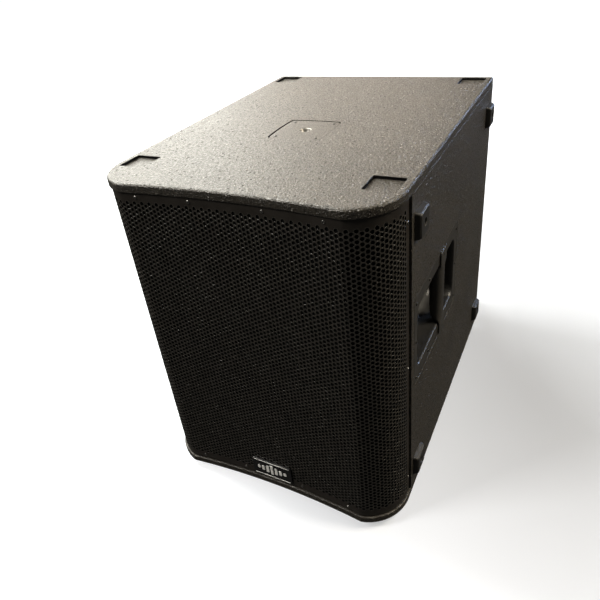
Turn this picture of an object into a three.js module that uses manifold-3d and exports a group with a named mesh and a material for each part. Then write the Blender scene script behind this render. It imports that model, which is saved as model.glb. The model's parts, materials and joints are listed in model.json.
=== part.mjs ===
// A powered subwoofer cabinet for one 18-inch woofer: plywood box, wrapped steel grille, bar handles,
// pole socket, rubber feet, four rear casters and a rear amplifier module.
//
// Millimetres. +Z up, -Y is the front with the grille, +X the side with the rubber feet. The origin
// is on the floor under the middle of the whole object, feet and casters included.

import * as THREE from 'three';
import { mergeVertices } from 'three/addons/utils/BufferGeometryUtils.js';
import Module from 'manifold-3d';

const wasm = await Module();
wasm.setup();

// ---- Driving dimensions, in the box frame: x from the middle, y from the creases, z from its underside.

const WIDTH = 518;
const HEIGHT = 651;
const DEPTH = 692;
const HALF_W = WIDTH / 2;
const LID_T = 16; // top and bottom panels
const WALL_T = 16; // sides, back and baffle
const GAP = 0.3; // between pieces that rest on each other
const ARRIS = 4.5; // round-over on the outer edges

const CREASE_X = 192; // half the distance between the two vertical creases
const HOLLOW = 11; // how far the middle of the front is set back
const CORNER_Y = 84; // where the corner curve meets the side
const FRONT_R = (CREASE_X ** 2 + HOLLOW ** 2) / (2 * HOLLOW);
const CORNER_R = ((HALF_W - CREASE_X) ** 2 + CORNER_Y ** 2) / (2 * (HALF_W - CREASE_X));
const SIDE_FRONT_Y = 97; // front edge of the side panels

const GRILLE_INSET = 3.5;
const GRILLE_T = 2;
const GRILLE_END_Y = 91;
const FOAM_T = 8;
const BAFFLE_Y = 79;
const BAFFLE_W = 492;
const BRACE = { y: 440, thick: 15, windowWidth: 390, windowHeight: 520, windowR: 45 };

const BADGE = { width: 88, height: 45, thick: 3, z: 46 };

const POCKET = { size: 51, depth: 6, x: 221, frontY: 94, rearY: 656 };
const FOOT = { size: 46, bottomT: 15.7, sideT: 10, frontY: 131, rearY: 650, lowZ: 66, highZ: 580 };

const POLE = { size: 100, thick: 3, y: 295, bore: 9.75, tube: 15, length: 62, screwX: 40 };

const HANDLE = {
  y: 257, z: 357.5, width: 290, height: 184, plateT: 2.5, plateR: 12,
  cupWidth: 272, cupHeight: 158, cupDepth: 54, cupWall: 2.5, cupR: 22,
  mouthFront: 132, mouthRear: 380, mouthHeight: 130, mouthR: 18,
  outerScrewY: 133.5, innerScrewY: 56.5, screwZ: 77.5, screwR: 2.4,
};
const GRIP = { y: 287, width: 38, depth: 25, proud: 3.4, padHeight: 24, round: 11 };

const WOOFER = { z: 397, cutR: 213 };
const PORT = { x: 150, z: 91, bore: 50, wall: 3, flare: 12, length: 220 };

const AMP = { z: 336, width: 292, height: 420, thick: 3, cutWidth: 268, cutHeight: 396, screwInset: 6 };

const CASTER = {
  x: 204, lowZ: 78, highZ: 578, height: 102, wheelR: 40, wheelWidth: 24, trail: 28,
  plateWidth: 68, plateHeight: 92, plateT: 3, stud: 5, legInner: 15.3, legT: 3, axle: 4,
};

// ---- Materials.

function paint(color, roughness, metalness = 0) {
  return new THREE.MeshStandardMaterial({ color, roughness, metalness });
}
const MATERIALS = {
  texturedPaint: paint(0x1a1917, 0.45),
  bareWood: paint(0x8a6a44, 0.75),
  grilleSteel: paint(0x131211, 0.5, 0.3),
  foam: paint(0x080808, 0.95),
  badge: paint(0x0c0c0d, 0.3),
  plastic: paint(0x151515, 0.5),
  rubber: paint(0x101010, 0.8),
  castMetal: paint(0x3c3d3f, 0.55, 0.7),
  paper: paint(0x18181a, 0.85),
  cloth: paint(0x6b4e2a, 0.9),
  copper: paint(0xa8683a, 0.4, 0.9),
  ferrite: paint(0x2c2c30, 0.7),
  zinc: paint(0xa9abad, 0.35, 0.9),
  blackMetal: paint(0x161617, 0.45, 0.5),
  board: paint(0x1c5a34, 0.6),
  tyre: paint(0x28282a, 0.75),
};

// ---- Solids: three.js shapes, joined and cut by manifold.

function solidOf(geometry) {
  const bare = geometry.clone();
  bare.deleteAttribute('normal');
  bare.deleteAttribute('uv');
  const merged = mergeVertices(bare, 1e-4);
  const index = merged.index.array;
  const triVerts = [];
  for (let i = 0; i < index.length; i += 3) {
    const [a, b, c] = [index[i], index[i + 1], index[i + 2]];
    if (a !== b && b !== c && c !== a) triVerts.push(a, b, c);
  }
  return new wasm.Manifold(new wasm.Mesh({
    numProp: 3,
    vertProperties: new Float32Array(merged.attributes.position.array),
    triVerts: new Uint32Array(triVerts),
  }));
}

function geometryOf(solid) {
  const { vertProperties, triVerts } = solid.getMesh();
  const geometry = new THREE.BufferGeometry();
  geometry.setAttribute('position', new THREE.BufferAttribute(vertProperties, 3));
  geometry.setIndex(new THREE.BufferAttribute(triVerts, 1));
  geometry.computeVertexNormals();
  return geometry;
}

function join(first, ...others) {
  return geometryOf(others.reduce((sum, g) => sum.add(solidOf(g)), solidOf(first)));
}

function cut(first, ...tools) {
  return geometryOf(tools.reduce((rest, g) => rest.subtract(solidOf(g)), solidOf(first)));
}

// A mirror image, with its faces still pointing out.
function mirrored(geometry, sx, sy, sz) {
  return geometryOf(solidOf(geometry).scale([sx, sy, sz]));
}

function box(lowX, lowY, lowZ, highX, highY, highZ) {
  const geometry = new THREE.BoxGeometry(highX - lowX, highY - lowY, highZ - lowZ);
  return geometry.translate((lowX + highX) / 2, (lowY + highY) / 2, (lowZ + highZ) / 2);
}

// A cylinder along one axis, its low end at (x, y, z).
function rod(axis, radius, length, x, y, z, segments = 12) {
  const geometry = new THREE.CylinderGeometry(radius, radius, length, segments);
  if (axis === 'x') geometry.rotateZ(-Math.PI / 2).translate(length / 2, 0, 0);
  if (axis === 'y') geometry.translate(0, length / 2, 0);
  if (axis === 'z') geometry.rotateX(Math.PI / 2).translate(0, 0, length / 2);
  return geometry.translate(x, y, z);
}

function roundedRect(width, height, radius, x = 0, y = 0) {
  const [w, h] = [width / 2 - radius, height / 2 - radius];
  const shape = new THREE.Shape();
  shape.absarc(x + w, y + h, radius, 0, Math.PI / 2);
  shape.absarc(x - w, y + h, radius, Math.PI / 2, Math.PI);
  shape.absarc(x - w, y - h, radius, Math.PI, Math.PI * 1.5);
  shape.absarc(x + w, y - h, radius, Math.PI * 1.5, Math.PI * 2);
  shape.closePath();
  return shape;
}

function extrude(shape, depth, curveSegments = 3, bevel = 0) {
  return new THREE.ExtrudeGeometry(shape, {
    depth: depth - 2 * bevel,
    curveSegments,
    bevelEnabled: bevel > 0,
    bevelThickness: bevel,
    bevelSize: bevel,
    bevelOffset: -bevel,
    bevelSegments: bevel > 3 ? 3 : 1,
  }).translate(0, 0, bevel);
}

// A plate drawn in (x, z) that fills the depth from y to y + thick.
function uprightPlate(shape, y, thick, curveSegments, bevel) {
  return extrude(shape, thick, curveSegments, bevel).rotateX(Math.PI / 2).translate(0, y + thick, 0);
}

// A plate drawn in (y, z) that fills the width from x to x + thick.
const SIDEWAYS = new THREE.Matrix4().makeBasis(
  new THREE.Vector3(0, 1, 0),
  new THREE.Vector3(0, 0, 1),
  new THREE.Vector3(1, 0, 0),
);
function sidePlate(shape, x, thick, curveSegments, bevel) {
  return extrude(shape, thick, curveSegments, bevel).applyMatrix4(SIDEWAYS).translate(x, 0, 0);
}

// A closed profile of [radius, y] corners turned about the Y axis.
function turned(profile, segments = 24) {
  const corners = profile.map(([radius, y]) => new THREE.Vector2(radius, y));
  if (THREE.ShapeUtils.area(corners) < 0) corners.reverse();
  return new THREE.LatheGeometry([...corners, corners[0].clone()], segments);
}

// ---- The front's plan curve.

function circlesMeet(a, radiusA, b, radiusB) {
  const apart = a.distanceTo(b);
  const along = (radiusA ** 2 - radiusB ** 2 + apart ** 2) / (2 * apart);
  const aside = Math.sqrt(radiusA ** 2 - along ** 2);
  const toward = b.clone().sub(a).divideScalar(apart);
  return new THREE.Vector2(
    a.x + toward.x * along + toward.y * aside,
    a.y + toward.y * along - toward.x * aside,
  );
}

// From the left flank round to the right one, set in from the box outline by inset.
function frontCurve(inset, endY, divisions = 4) {
  const front = new THREE.Vector2(0, HOLLOW - FRONT_R);
  const corner = new THREE.Vector2(HALF_W - CORNER_R, CORNER_Y);
  const crease = circlesMeet(front, FRONT_R + inset, corner, CORNER_R - inset);
  const frontAngle = Math.atan2(crease.y - front.y, crease.x);
  const cornerAngle = Math.atan2(crease.y - corner.y, crease.x - corner.x);
  const right = new THREE.Path();
  right.absarc(0, front.y, FRONT_R + inset, Math.PI / 2, frontAngle, true);
  right.absarc(corner.x, corner.y, CORNER_R - inset, cornerAngle, 0, false);
  right.lineTo(HALF_W - inset, endY);
  const points = right.getPoints(divisions);
  const left = points.slice(1).map((p) => new THREE.Vector2(-p.x, p.y)).reverse();
  return [...left, ...points];
}

// ---- Box panels.

// A lid: the whole plan outline, with its outer arris rounded on the upper face only.
function lid() {
  const outline = new THREE.Shape(frontCurve(0, DEPTH));
  const slab = extrude(outline, 2 * LID_T, 1, ARRIS).translate(0, 0, -LID_T);
  return cut(slab, box(-WIDTH, -WIDTH, -2 * LID_T, WIDTH, 2 * DEPTH, 0));
}

// The pole plate's outline: a square with softly bowed sides.
function poleOutline(size) {
  const half = size / 2 - 9;
  const bow = size / 2 + 4;
  const shape = new THREE.Shape();
  shape.moveTo(half, size / 2);
  shape.quadraticCurveTo(0, bow, -half, size / 2);
  shape.quadraticCurveTo(-size / 2, size / 2, -size / 2, half);
  shape.quadraticCurveTo(-bow, 0, -size / 2, -half);
  shape.quadraticCurveTo(-size / 2, -size / 2, -half, -size / 2);
  shape.quadraticCurveTo(0, -bow, half, -size / 2);
  shape.quadraticCurveTo(size / 2, -size / 2, size / 2, -half);
  shape.quadraticCurveTo(bow, 0, size / 2, half);
  shape.quadraticCurveTo(size / 2, size / 2, half, size / 2);
  return shape;
}

function topPanel() {
  const tools = [];
  for (const x of [-POCKET.x, POCKET.x]) {
    for (const y of [POCKET.frontY, POCKET.rearY]) {
      const half = POCKET.size / 2;
      tools.push(box(x - half, y - half, LID_T - POCKET.depth, x + half, y + half, 2 * LID_T));
    }
  }
  const recess = extrude(poleOutline(POLE.size + 2 * GAP + 1), LID_T, 2);
  tools.push(recess.translate(0, POLE.y, LID_T - POLE.thick - GAP));
  tools.push(rod('z', POLE.tube + 1, 3 * LID_T, 0, POLE.y, -LID_T, 20));
  return cut(lid(), ...tools).translate(0, 0, HEIGHT - LID_T);
}

function bottomPanel() {
  return mirrored(lid(), 1, 1, -1).translate(0, 0, LID_T);
}

function sidePanel(side) {
  const low = LID_T + GAP;
  const high = HEIGHT - LID_T - GAP;
  const outline = new THREE.Shape([
    new THREE.Vector2(SIDE_FRONT_Y, low),
    new THREE.Vector2(DEPTH, low),
    new THREE.Vector2(DEPTH, high),
    new THREE.Vector2(SIDE_FRONT_Y, high),
  ]);
  const { y, z, width, height, plateR, cupWidth, cupHeight, cupR } = HANDLE;
  outline.holes.push(roundedRect(cupWidth + 2, cupHeight + 2, cupR + 1, y, z));
  const panel = sidePlate(outline, HALF_W - WALL_T, WALL_T, 3);
  const rebate = roundedRect(width + 1, height + 1, plateR + 0.5, y, z);
  const solid = cut(panel, sidePlate(rebate, HALF_W - HANDLE.plateT - GAP, WALL_T, 3));
  return side > 0 ? solid : mirrored(solid, -1, 1, 1);
}

function innerRect() {
  const halfW = HALF_W - WALL_T - GAP;
  const height = HEIGHT - 2 * LID_T - 2 * GAP;
  return roundedRect(2 * halfW, height, 0.5, 0, HEIGHT / 2);
}

function backPanel() {
  const outline = innerRect();
  outline.holes.push(roundedRect(AMP.cutWidth, AMP.cutHeight, 6, 0, AMP.z));
  return uprightPlate(outline, DEPTH - WALL_T, WALL_T, 1);
}

function windowBrace() {
  const outline = innerRect();
  outline.holes.push(roundedRect(BRACE.windowWidth, BRACE.windowHeight, BRACE.windowR, 0, HEIGHT / 2));
  return uprightPlate(outline, BRACE.y, BRACE.thick, 3);
}

function circle(radius, x, y) {
  const path = new THREE.Path();
  path.absarc(x, y, radius, 0, Math.PI * 2);
  return path;
}

function frontBaffle() {
  const height = HEIGHT - 2 * LID_T - 2 * GAP;
  const outline = roundedRect(BAFFLE_W, height, 0.5, 0, HEIGHT / 2);
  outline.holes.push(circle(WOOFER.cutR, 0, WOOFER.z));
  for (const x of [-PORT.x, PORT.x]) {
    outline.holes.push(circle(PORT.bore + PORT.wall + 0.5, x, PORT.z));
  }
  return uprightPlate(outline, BAFFLE_Y, SIDE_FRONT_Y - BAFFLE_Y - GAP, 12);
}

// ---- Grille, foam and badge.

function wrappedSheet(inset, thick, endY, low, high) {
  const outer = frontCurve(inset, endY, 6);
  const inner = frontCurve(inset + thick, endY, 6).reverse();
  return extrude(new THREE.Shape([...outer, ...inner]), high - low).translate(0, 0, low);
}

function grille() {
  return wrappedSheet(GRILLE_INSET, GRILLE_T, GRILLE_END_Y, LID_T + 1, HEIGHT - LID_T - 1);
}

function grilleFoam() {
  const halfW = CREASE_X - 6;
  const near = HOLLOW - FRONT_R;
  const nearR = FRONT_R + GRILLE_INSET + GRILLE_T + GAP;
  const shape = new THREE.Shape();
  const nearAngle = Math.acos(halfW / nearR);
  const farAngle = Math.acos(halfW / (nearR + FOAM_T));
  shape.absarc(0, near, nearR, Math.PI - nearAngle, nearAngle, true);
  shape.absarc(0, near, nearR + FOAM_T, farAngle, Math.PI - farAngle, false);
  shape.closePath();
  return extrude(shape, HEIGHT - 2 * LID_T - 8, 6).translate(0, 0, LID_T + 4);
}

function badge() {
  const plate = roundedRect(BADGE.width, BADGE.height, 5, 0, BADGE.z);
  return uprightPlate(plate, HOLLOW + GRILLE_INSET - BADGE.thick - 1, BADGE.thick, 3);
}

// ---- Woofer, turned about the Y axis. Each profile is a list of [radius, y].

function wooferBasket() {
  const shell = turned([
    [206, 72], [230, 72], [230, 78.7], [210, 78.7], [210, 86], [108, 219], [56, 219], [56, 215],
    [100, 215], [106, 205], [102, 205], [102, 202], [109.5, 202], [206, 83],
  ]);
  const spokes = 6;
  const windows = [];
  for (let i = 0; i < spokes; i += 1) {
    windows.push(box(118, 104, -36, 240, 192, 36).rotateY((i * Math.PI * 2) / spokes));
  }
  return cut(shell, ...windows);
}

// The surround: a half roll between two flat glue lips.
function wooferSurround() {
  const thick = 1.5;
  const roll = { middle: 198.5, outer: 10.5, inner: 9 };
  const front = 70.2;
  const back = front + thick;
  const steps = 4;
  const profile = [[178, back], [178, front]];
  for (let i = 0; i <= steps; i += 1) {
    const angle = Math.PI - (i * Math.PI) / steps;
    profile.push([roll.middle + roll.outer * Math.cos(angle), front - roll.outer * Math.sin(angle)]);
  }
  profile.push([218, front], [218, back]);
  for (let i = 0; i <= steps; i += 1) {
    const angle = (i * Math.PI) / steps;
    profile.push([roll.middle + roll.inner * Math.cos(angle), front - roll.inner * Math.sin(angle) + 0.01]);
  }
  return turned(profile);
}

function wooferSpider() {
  const inner = 54.4;
  const outer = 106;
  const waves = 3;
  const steps = waves * 3;
  const front = [];
  const back = [];
  for (let i = 0; i <= steps; i += 1) {
    const radius = inner + ((outer - inner) * i) / steps;
    const y = 199.4 + 1.6 * Math.sin((i / steps) * waves * Math.PI * 2);
    front.push([radius, y - 0.6]);
    back.push([radius, y + 0.6]);
  }
  return turned([...front, ...back.reverse()], 16);
}

const WOOFER_PROFILES = {
  gasket: [[209, 64], [229, 64], [229, 69.9], [209, 69.9]],
  cone: [
    [188, 72], [188, 74], [184, 74], [60, 183], [53.8, 192],
    [53.8, 188], [58, 181], [178, 74], [178, 72],
  ],
  dustCap: [
    [70, 166], [70, 168], [64, 168], [45, 159.3], [23, 154], [0, 152.2],
    [0, 150.2], [24, 152], [47, 157.4], [65, 166],
  ],
  coil: [[51, 176], [53, 176], [53, 245], [51, 245]],
  topPlate: [[54, 219.3], [88, 219.3], [88, 228], [54, 228]],
  magnet: [[60, 228.3], [102, 228.3], [104, 230], [104, 256], [102, 258], [60, 258]],
  polePiece: [[16, 221], [49.8, 221], [49.8, 258.3], [96, 258.3], [96, 268], [16, 268]],
};

// ---- Reflex ports.

function portTube() {
  const { bore, wall, flare, length } = PORT;
  const steps = 3;
  const mouth = BAFFLE_Y - wall - GAP;
  const inside = [];
  for (let i = 0; i <= steps; i += 1) {
    const angle = (i * Math.PI) / 2 / steps;
    inside.push([bore + flare * (1 - Math.sin(angle)), mouth + flare * (1 - Math.cos(angle))]);
  }
  const rear = mouth + length;
  const outside = [
    [bore, rear], [bore + wall, rear], [bore + wall, mouth + wall], [bore + flare, mouth + wall],
  ];
  return turned([...inside, ...outside]);
}

// ---- Pole socket.

function polePlate() {
  const plate = extrude(poleOutline(POLE.size), POLE.thick, 2);
  const tube = rod('z', POLE.tube, POLE.length, 0, 0, -POLE.length + POLE.thick, 20);
  const floor = 5;
  const tools = [rod('z', POLE.bore, POLE.length, 0, 0, -POLE.length + POLE.thick + floor, 20)];
  for (const x of [-POLE.screwX, POLE.screwX]) {
    for (const y of [-POLE.screwX, POLE.screwX]) {
      tools.push(rod('z', 2.4, 4 * POLE.thick, x, y, -POLE.thick, 6));
    }
  }
  return cut(join(plate, tube), ...tools);
}

// ---- Handles: a cup with its face plate, and a bar across its mouth. Made for the +X side.

function handleCup() {
  const { y, z, width, height, plateT, plateR, cupWidth, cupHeight, cupDepth, cupWall, cupR } = HANDLE;
  const { mouthFront, mouthRear, mouthHeight, mouthR, outerScrewY, innerScrewY, screwZ } = HANDLE;
  const plate = sidePlate(roundedRect(width, height, plateR, y, z), HALF_W - plateT, plateT, 3);
  const shell = sidePlate(roundedRect(cupWidth, cupHeight, cupR, y, z), HALF_W - cupDepth, cupDepth - 1);
  const inside = roundedRect(cupWidth - 2 * cupWall, cupHeight - 2 * cupWall, cupR - cupWall, y, z);
  const hollow = sidePlate(inside, HALF_W - cupDepth + cupWall, cupDepth - cupWall - plateT);
  const mouthY = (mouthRear + mouthFront) / 2;
  const mouth = roundedRect(mouthRear - mouthFront, mouthHeight, mouthR, mouthY, z);
  const tools = [hollow, sidePlate(mouth, HALF_W - cupDepth / 2, cupDepth)];
  const screws = [];
  for (const side of [-1, 1]) {
    for (const dz of [-screwZ, 0, screwZ]) screws.push([side * outerScrewY, dz]);
    for (const dz of [-screwZ, screwZ]) screws.push([side * innerScrewY, dz]);
  }
  for (const [dy, dz] of screws) {
    tools.push(rod('x', HANDLE.screwR, 4 * plateT, HALF_W - 2 * plateT, y + dy, z + dz, 6));
  }
  return cut(join(plate, shell), ...tools);
}

function handleGrip() {
  const { y, width, depth, proud, padHeight, round } = GRIP;
  const face = HALF_W + proud;
  const section = roundedRect(depth, width, round, face - depth / 2, y);
  const barHeight = HANDLE.mouthHeight - 2 * GAP;
  const bar = extrude(section, barHeight, 4).translate(0, 0, HANDLE.z - barHeight / 2);
  const tie = roundedRect(width, HANDLE.height, 6, y, HANDLE.z);
  const strap = sidePlate(tie, HALF_W + GAP, proud - GAP, 2, 1);
  const rootWidth = width / 2 - 3;
  const rootHeight = barHeight / 2;
  const root = box(
    HALF_W - 1, y - rootWidth, HANDLE.z - rootHeight,
    face - 1, y + rootWidth, HANDLE.z + rootHeight,
  );
  const screwZ = (HANDLE.height - padHeight) / 2;
  const screws = [-screwZ, screwZ].map((dz) => rod('x', 3, 20, HALF_W - 5, y, HANDLE.z + dz, 10));
  return cut(join(bar, strap, root), ...screws);
}

// ---- Feet. The wide face is at z = 0 and the worn face at -thick.

function foot(thick) {
  const pad = extrude(roundedRect(FOOT.size, FOOT.size, 5), 2 * thick, 2, 2.5);
  const upper = box(-FOOT.size, -FOOT.size, thick, FOOT.size, FOOT.size, 3 * thick);
  const drafted = cut(pad, upper).translate(0, 0, -thick);
  const screwHole = rod('z', 2.7, 3 * thick, 0, 0, -2 * thick, 8);
  const headRecess = rod('z', 6.5, thick, 0, 0, -thick - 4, 10);
  return cut(drafted, screwHole, headRecess);
}

// ---- Amplifier module. Places on the panel are given from its middle, as seen in (x, z).

const PANEL_Y = DEPTH + GAP;
const PANEL_FACE = PANEL_Y + AMP.thick;
const CONTROLS = {
  knob: [-86, -60], button: [-28, -60], rocker: [92, -150],
  xlrIn: [-92, -150], xlrOut: [-40, -150], inlet: [36, -150],
};

function at([x, z]) {
  return [x, AMP.z + z];
}

function ampPanel() {
  const plate = uprightPlate(roundedRect(AMP.width, AMP.height, 8, 0, AMP.z), PANEL_Y, AMP.thick, 3);
  const [rockerX, rockerZ] = at(CONTROLS.rocker);
  const bezel = uprightPlate(roundedRect(18, 25, 2, rockerX, rockerZ), PANEL_Y - 6, AMP.thick + 8, 2);
  const through = (shape) => uprightPlate(shape, PANEL_Y - 20, 40, 4);
  const tools = [through(roundedRect(13, 20, 0.5, rockerX, rockerZ))];
  const bore = (radius, [x, z], segments = 12) => rod('y', radius, 40, x, PANEL_Y - 20, z, segments);
  const [inletX, inletZ] = at(CONTROLS.inlet);
  tools.push(through(roundedRect(29, 22.5, 2, inletX, inletZ)));
  tools.push(bore(12.3, at(CONTROLS.xlrIn)), bore(12.3, at(CONTROLS.xlrOut)));
  tools.push(bore(3.4, at(CONTROLS.knob), 10), bore(4.5, at(CONTROLS.button), 10));
  for (const x of [-1, 1]) {
    for (const z of [-1, 0, 1]) {
      const place = [x * (AMP.width / 2 - AMP.screwInset), z * (AMP.height / 2 - AMP.screwInset)];
      tools.push(bore(2.2, at(place), 6));
    }
  }
  return cut(join(plate, bezel), ...tools);
}

// Upright fins on a base plate.
function heatSink() {
  const base = { width: 236, height: 170, thick: 5 };
  const fins = 12;
  const pitch = (base.width - 4) / (fins - 1);
  const low = AMP.z + 10;
  const face = PANEL_FACE + GAP;
  const pieces = [];
  for (let i = 0; i < fins; i += 1) {
    const x = -base.width / 2 + 2 + i * pitch;
    pieces.push(box(x - 1.5, face + base.thick - 1, low + 2, x + 1.5, face + 24, low + base.height - 2));
  }
  const plate = box(-base.width / 2, face, low, base.width / 2, face + base.thick, low + base.height);
  return join(plate, ...pieces);
}

// The amplifier's board, with its tallest parts and the posts it stands on.
function circuitBoard() {
  const y = 640;
  const board = box(-120, y, AMP.z - 185, 120, y + 1.6, AMP.z + 185);
  const parts = [
    box(-100, y - 38, AMP.z + 95, -30, y + 1, AMP.z + 165),
    box(10, y - 30, AMP.z + 100, 100, y + 1, AMP.z + 125),
    rod('y', 17, 45, -70, y - 44, AMP.z + 20, 12),
    rod('y', 17, 45, -20, y - 44, AMP.z + 20, 12),
    rod('y', 17, 45, 30, y - 44, AMP.z + 20, 12),
  ];
  for (const x of [-110, 110]) {
    for (const z of [-175, 175]) {
      parts.push(rod('y', 4, PANEL_Y - y - GAP - 1, x, y + 1, AMP.z + z, 8));
    }
  }
  return join(board, ...parts);
}

// A chassis connector: flange and barrel with a round socket.
function xlrSocket(place, withPins) {
  const [x, z] = at(place);
  const face = PANEL_FACE + GAP + 2.5;
  const flange = uprightPlate(roundedRect(26, 31, 3, x, z), face - 2.5, 2.5, 3);
  const barrel = rod('y', 11.9, 26, x, face - 26, z);
  const tools = [rod('y', 9.5, 14, x, face - 12, z)];
  for (const side of [-1, 1]) {
    tools.push(rod('y', 1.6, 20, x + side * 9.5, face - 12.5, z + side * 12, 8));
  }
  const body = cut(join(flange, barrel), ...tools);
  if (!withPins) return body;
  const pins = [];
  for (let i = 0; i < 3; i += 1) {
    const angle = Math.PI / 2 + (i * Math.PI * 2) / 3;
    const [pinX, pinZ] = [x + 4.6 * Math.cos(angle), z + 4.6 * Math.sin(angle)];
    pins.push(rod('y', 1.2, 12, pinX, face - 13, pinZ, 8));
  }
  return join(body, ...pins);
}

// The three pins stand in a shallow arc, the middle one lowest.
function mainsInlet() {
  const [x, z] = at(CONTROLS.inlet);
  const face = PANEL_FACE + GAP;
  const flange = uprightPlate(roundedRect(50, 28, 4, x, z), face, 3, 3);
  const housing = uprightPlate(roundedRect(28, 21.5, 2, x, z), face - 24, 26, 3);
  const tools = [uprightPlate(roundedRect(24.4, 16.8, 3, x, z), face - 14, 20, 3)];
  for (const dx of [-20, 20]) tools.push(rod('y', 1.9, 12, x + dx, face - 4, z, 8));
  const pins = [[-7, -0.3], [0, -3.8], [7, -0.3]].map(([dx, dz]) => {
    const [pinX, pinZ] = [x + dx, z + dz];
    return box(pinX - 1, face - 15, pinZ, pinX + 1, face, pinZ + 3);
  });
  return join(cut(join(flange, housing), ...tools), ...pins);
}

// The switch rocker: a shallow V across its pivot, which lies along X.
const ROCKER_PIVOT_Y = PANEL_FACE + 1;
function rocker() {
  const shape = new THREE.Shape();
  shape.moveTo(-9, -3);
  shape.lineTo(9, -3);
  shape.lineTo(9, 2.2);
  shape.lineTo(0, 3);
  shape.lineTo(-8.2, 5);
  shape.closePath();
  const [x, z] = at(CONTROLS.rocker);
  const turnedUp = new THREE.Matrix4().makeBasis(
    new THREE.Vector3(0, 0, -1),
    new THREE.Vector3(0, 1, 0),
    new THREE.Vector3(1, 0, 0),
  );
  return extrude(shape, 12).applyMatrix4(turnedUp).translate(x - 6, ROCKER_PIVOT_Y, z);
}

function gainKnob() {
  const [x, z] = at(CONTROLS.knob);
  const face = PANEL_FACE + 1;
  const profile = [[0, 0], [12, 0], [12.5, 1.5], [10.6, 14], [9.6, 15], [0, 15]];
  const knob = turned(profile, 16).translate(0, face, 0);
  const shaft = rod('y', 3, 20, 0, face - 18, 0, 10);
  const mark = box(-0.7, face + 12.5, 5, 0.7, face + 16, 14);
  return cut(join(knob, shaft), mark).translate(x, 0, z);
}

function pushButton() {
  const [x, z] = at(CONTROLS.button);
  const profile = [[0, -16], [4, -16], [4, -0.6], [3.4, 0], [0, 0]];
  return turned(profile, 10).translate(x, PANEL_FACE + 4, z);
}

// ---- Casters. Each is built about its swivel axis, the Y axis, with y = 0 on the back panel.

function casterPlate() {
  const { plateWidth, plateHeight, plateT, stud } = CASTER;
  const plate = uprightPlate(roundedRect(plateWidth, plateHeight, 7), 0, plateT, 2);
  const tools = [];
  for (const x of [-1, 1]) {
    for (const z of [-1, 1]) {
      const place = [x * (plateWidth / 2 - 9), -10, z * (plateHeight / 2 - 10)];
      tools.push(rod('y', 4, 30, ...place, 6));
    }
  }
  const race = turned([[0, 1], [21, 1], [21, 5], [17, 8.6], [0, 8.6]], 14);
  const pin = turned([[0, 4], [stud, 4], [stud, 13.4], [stud + 4, 13.4], [stud + 3, 17], [0, 17]], 10);
  return join(cut(plate, ...tools), race, pin);
}

function casterFork() {
  const { stud, legInner, legT, trail, height, wheelR, axle } = CASTER;
  const crownY = 9;
  const bore = stud + GAP;
  const crown = turned([[bore, crownY], [23, crownY], [23, crownY + 4], [bore, crownY + 4]], 14);
  const axleY = height - wheelR;
  const leg = new THREE.Shape();
  leg.moveTo(crownY, 17);
  leg.lineTo(crownY, -17);
  leg.lineTo(axleY - 6, -trail - 13);
  leg.absarc(axleY, -trail, 12, -2.0, 0.9, false);
  leg.closePath();
  leg.holes.push(circle(axle + 1, axleY, -trail));
  const left = sidePlate(leg, -legInner - legT, legT, 3);
  const right = sidePlate(leg, legInner, legT, 3);
  const bridge = box(-legInner - 1, crownY, -12, legInner + 1, crownY + 3, 12);
  const clearance = rod('y', bore, 10, 0, crownY - 2, 0, 14);
  return cut(join(crown, left, right, bridge), clearance);
}

function casterWheel() {
  const { wheelR, wheelWidth, legInner, axle } = CASTER;
  const half = wheelWidth / 2;
  const hub = legInner - 1.3;
  const bore = axle + GAP;
  return turned([
    [bore, -hub], [11, -hub], [12, -half + 3], [29, -half], [36, -half], [wheelR, -half + 5],
    [wheelR, half - 5], [36, half], [29, half], [12, half - 3], [11, hub], [bore, hub],
  ], 16).rotateZ(Math.PI / 2);
}

function casterAxle() {
  const { axle, legInner, legT } = CASTER;
  const outer = legInner + legT + GAP;
  return turned([
    [0, -outer - 5], [6.5, -outer - 5], [6.5, -outer], [axle, -outer],
    [axle, outer], [6.5, outer], [6.5, outer + 4], [0, outer + 4],
  ], 8).rotateZ(Math.PI / 2);
}

// ---- The assembly.

const subwoofer = new THREE.Group();
const cabinet = new THREE.Group();
cabinet.position.set(
  (GRIP.proud - FOOT.sideT - GAP) / 2,
  -(DEPTH + CASTER.height) / 2,
  FOOT.bottomT + GAP,
);
subwoofer.add(cabinet);

function add(name, geometry, material, parent = cabinet) {
  const mesh = new THREE.Mesh(geometry, material);
  mesh.name = name;
  parent.add(mesh);
  return mesh;
}

add('top_panel', topPanel(), MATERIALS.texturedPaint);
add('bottom_panel', bottomPanel(), MATERIALS.texturedPaint);
add('left_side_panel', sidePanel(-1), MATERIALS.texturedPaint);
add('right_side_panel', sidePanel(1), MATERIALS.texturedPaint);
add('back_panel', backPanel(), MATERIALS.texturedPaint);
add('front_baffle', frontBaffle(), MATERIALS.texturedPaint);
add('window_brace', windowBrace(), MATERIALS.bareWood);
add('grille', grille(), MATERIALS.grilleSteel);
add('grille_foam', grilleFoam(), MATERIALS.foam);
add('badge_plate', badge(), MATERIALS.badge);

for (const [name, x] of [['left', -PORT.x], ['right', PORT.x]]) {
  add(`port_tube_${name}`, portTube(), MATERIALS.plastic).position.set(x, 0, PORT.z);
}

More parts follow.
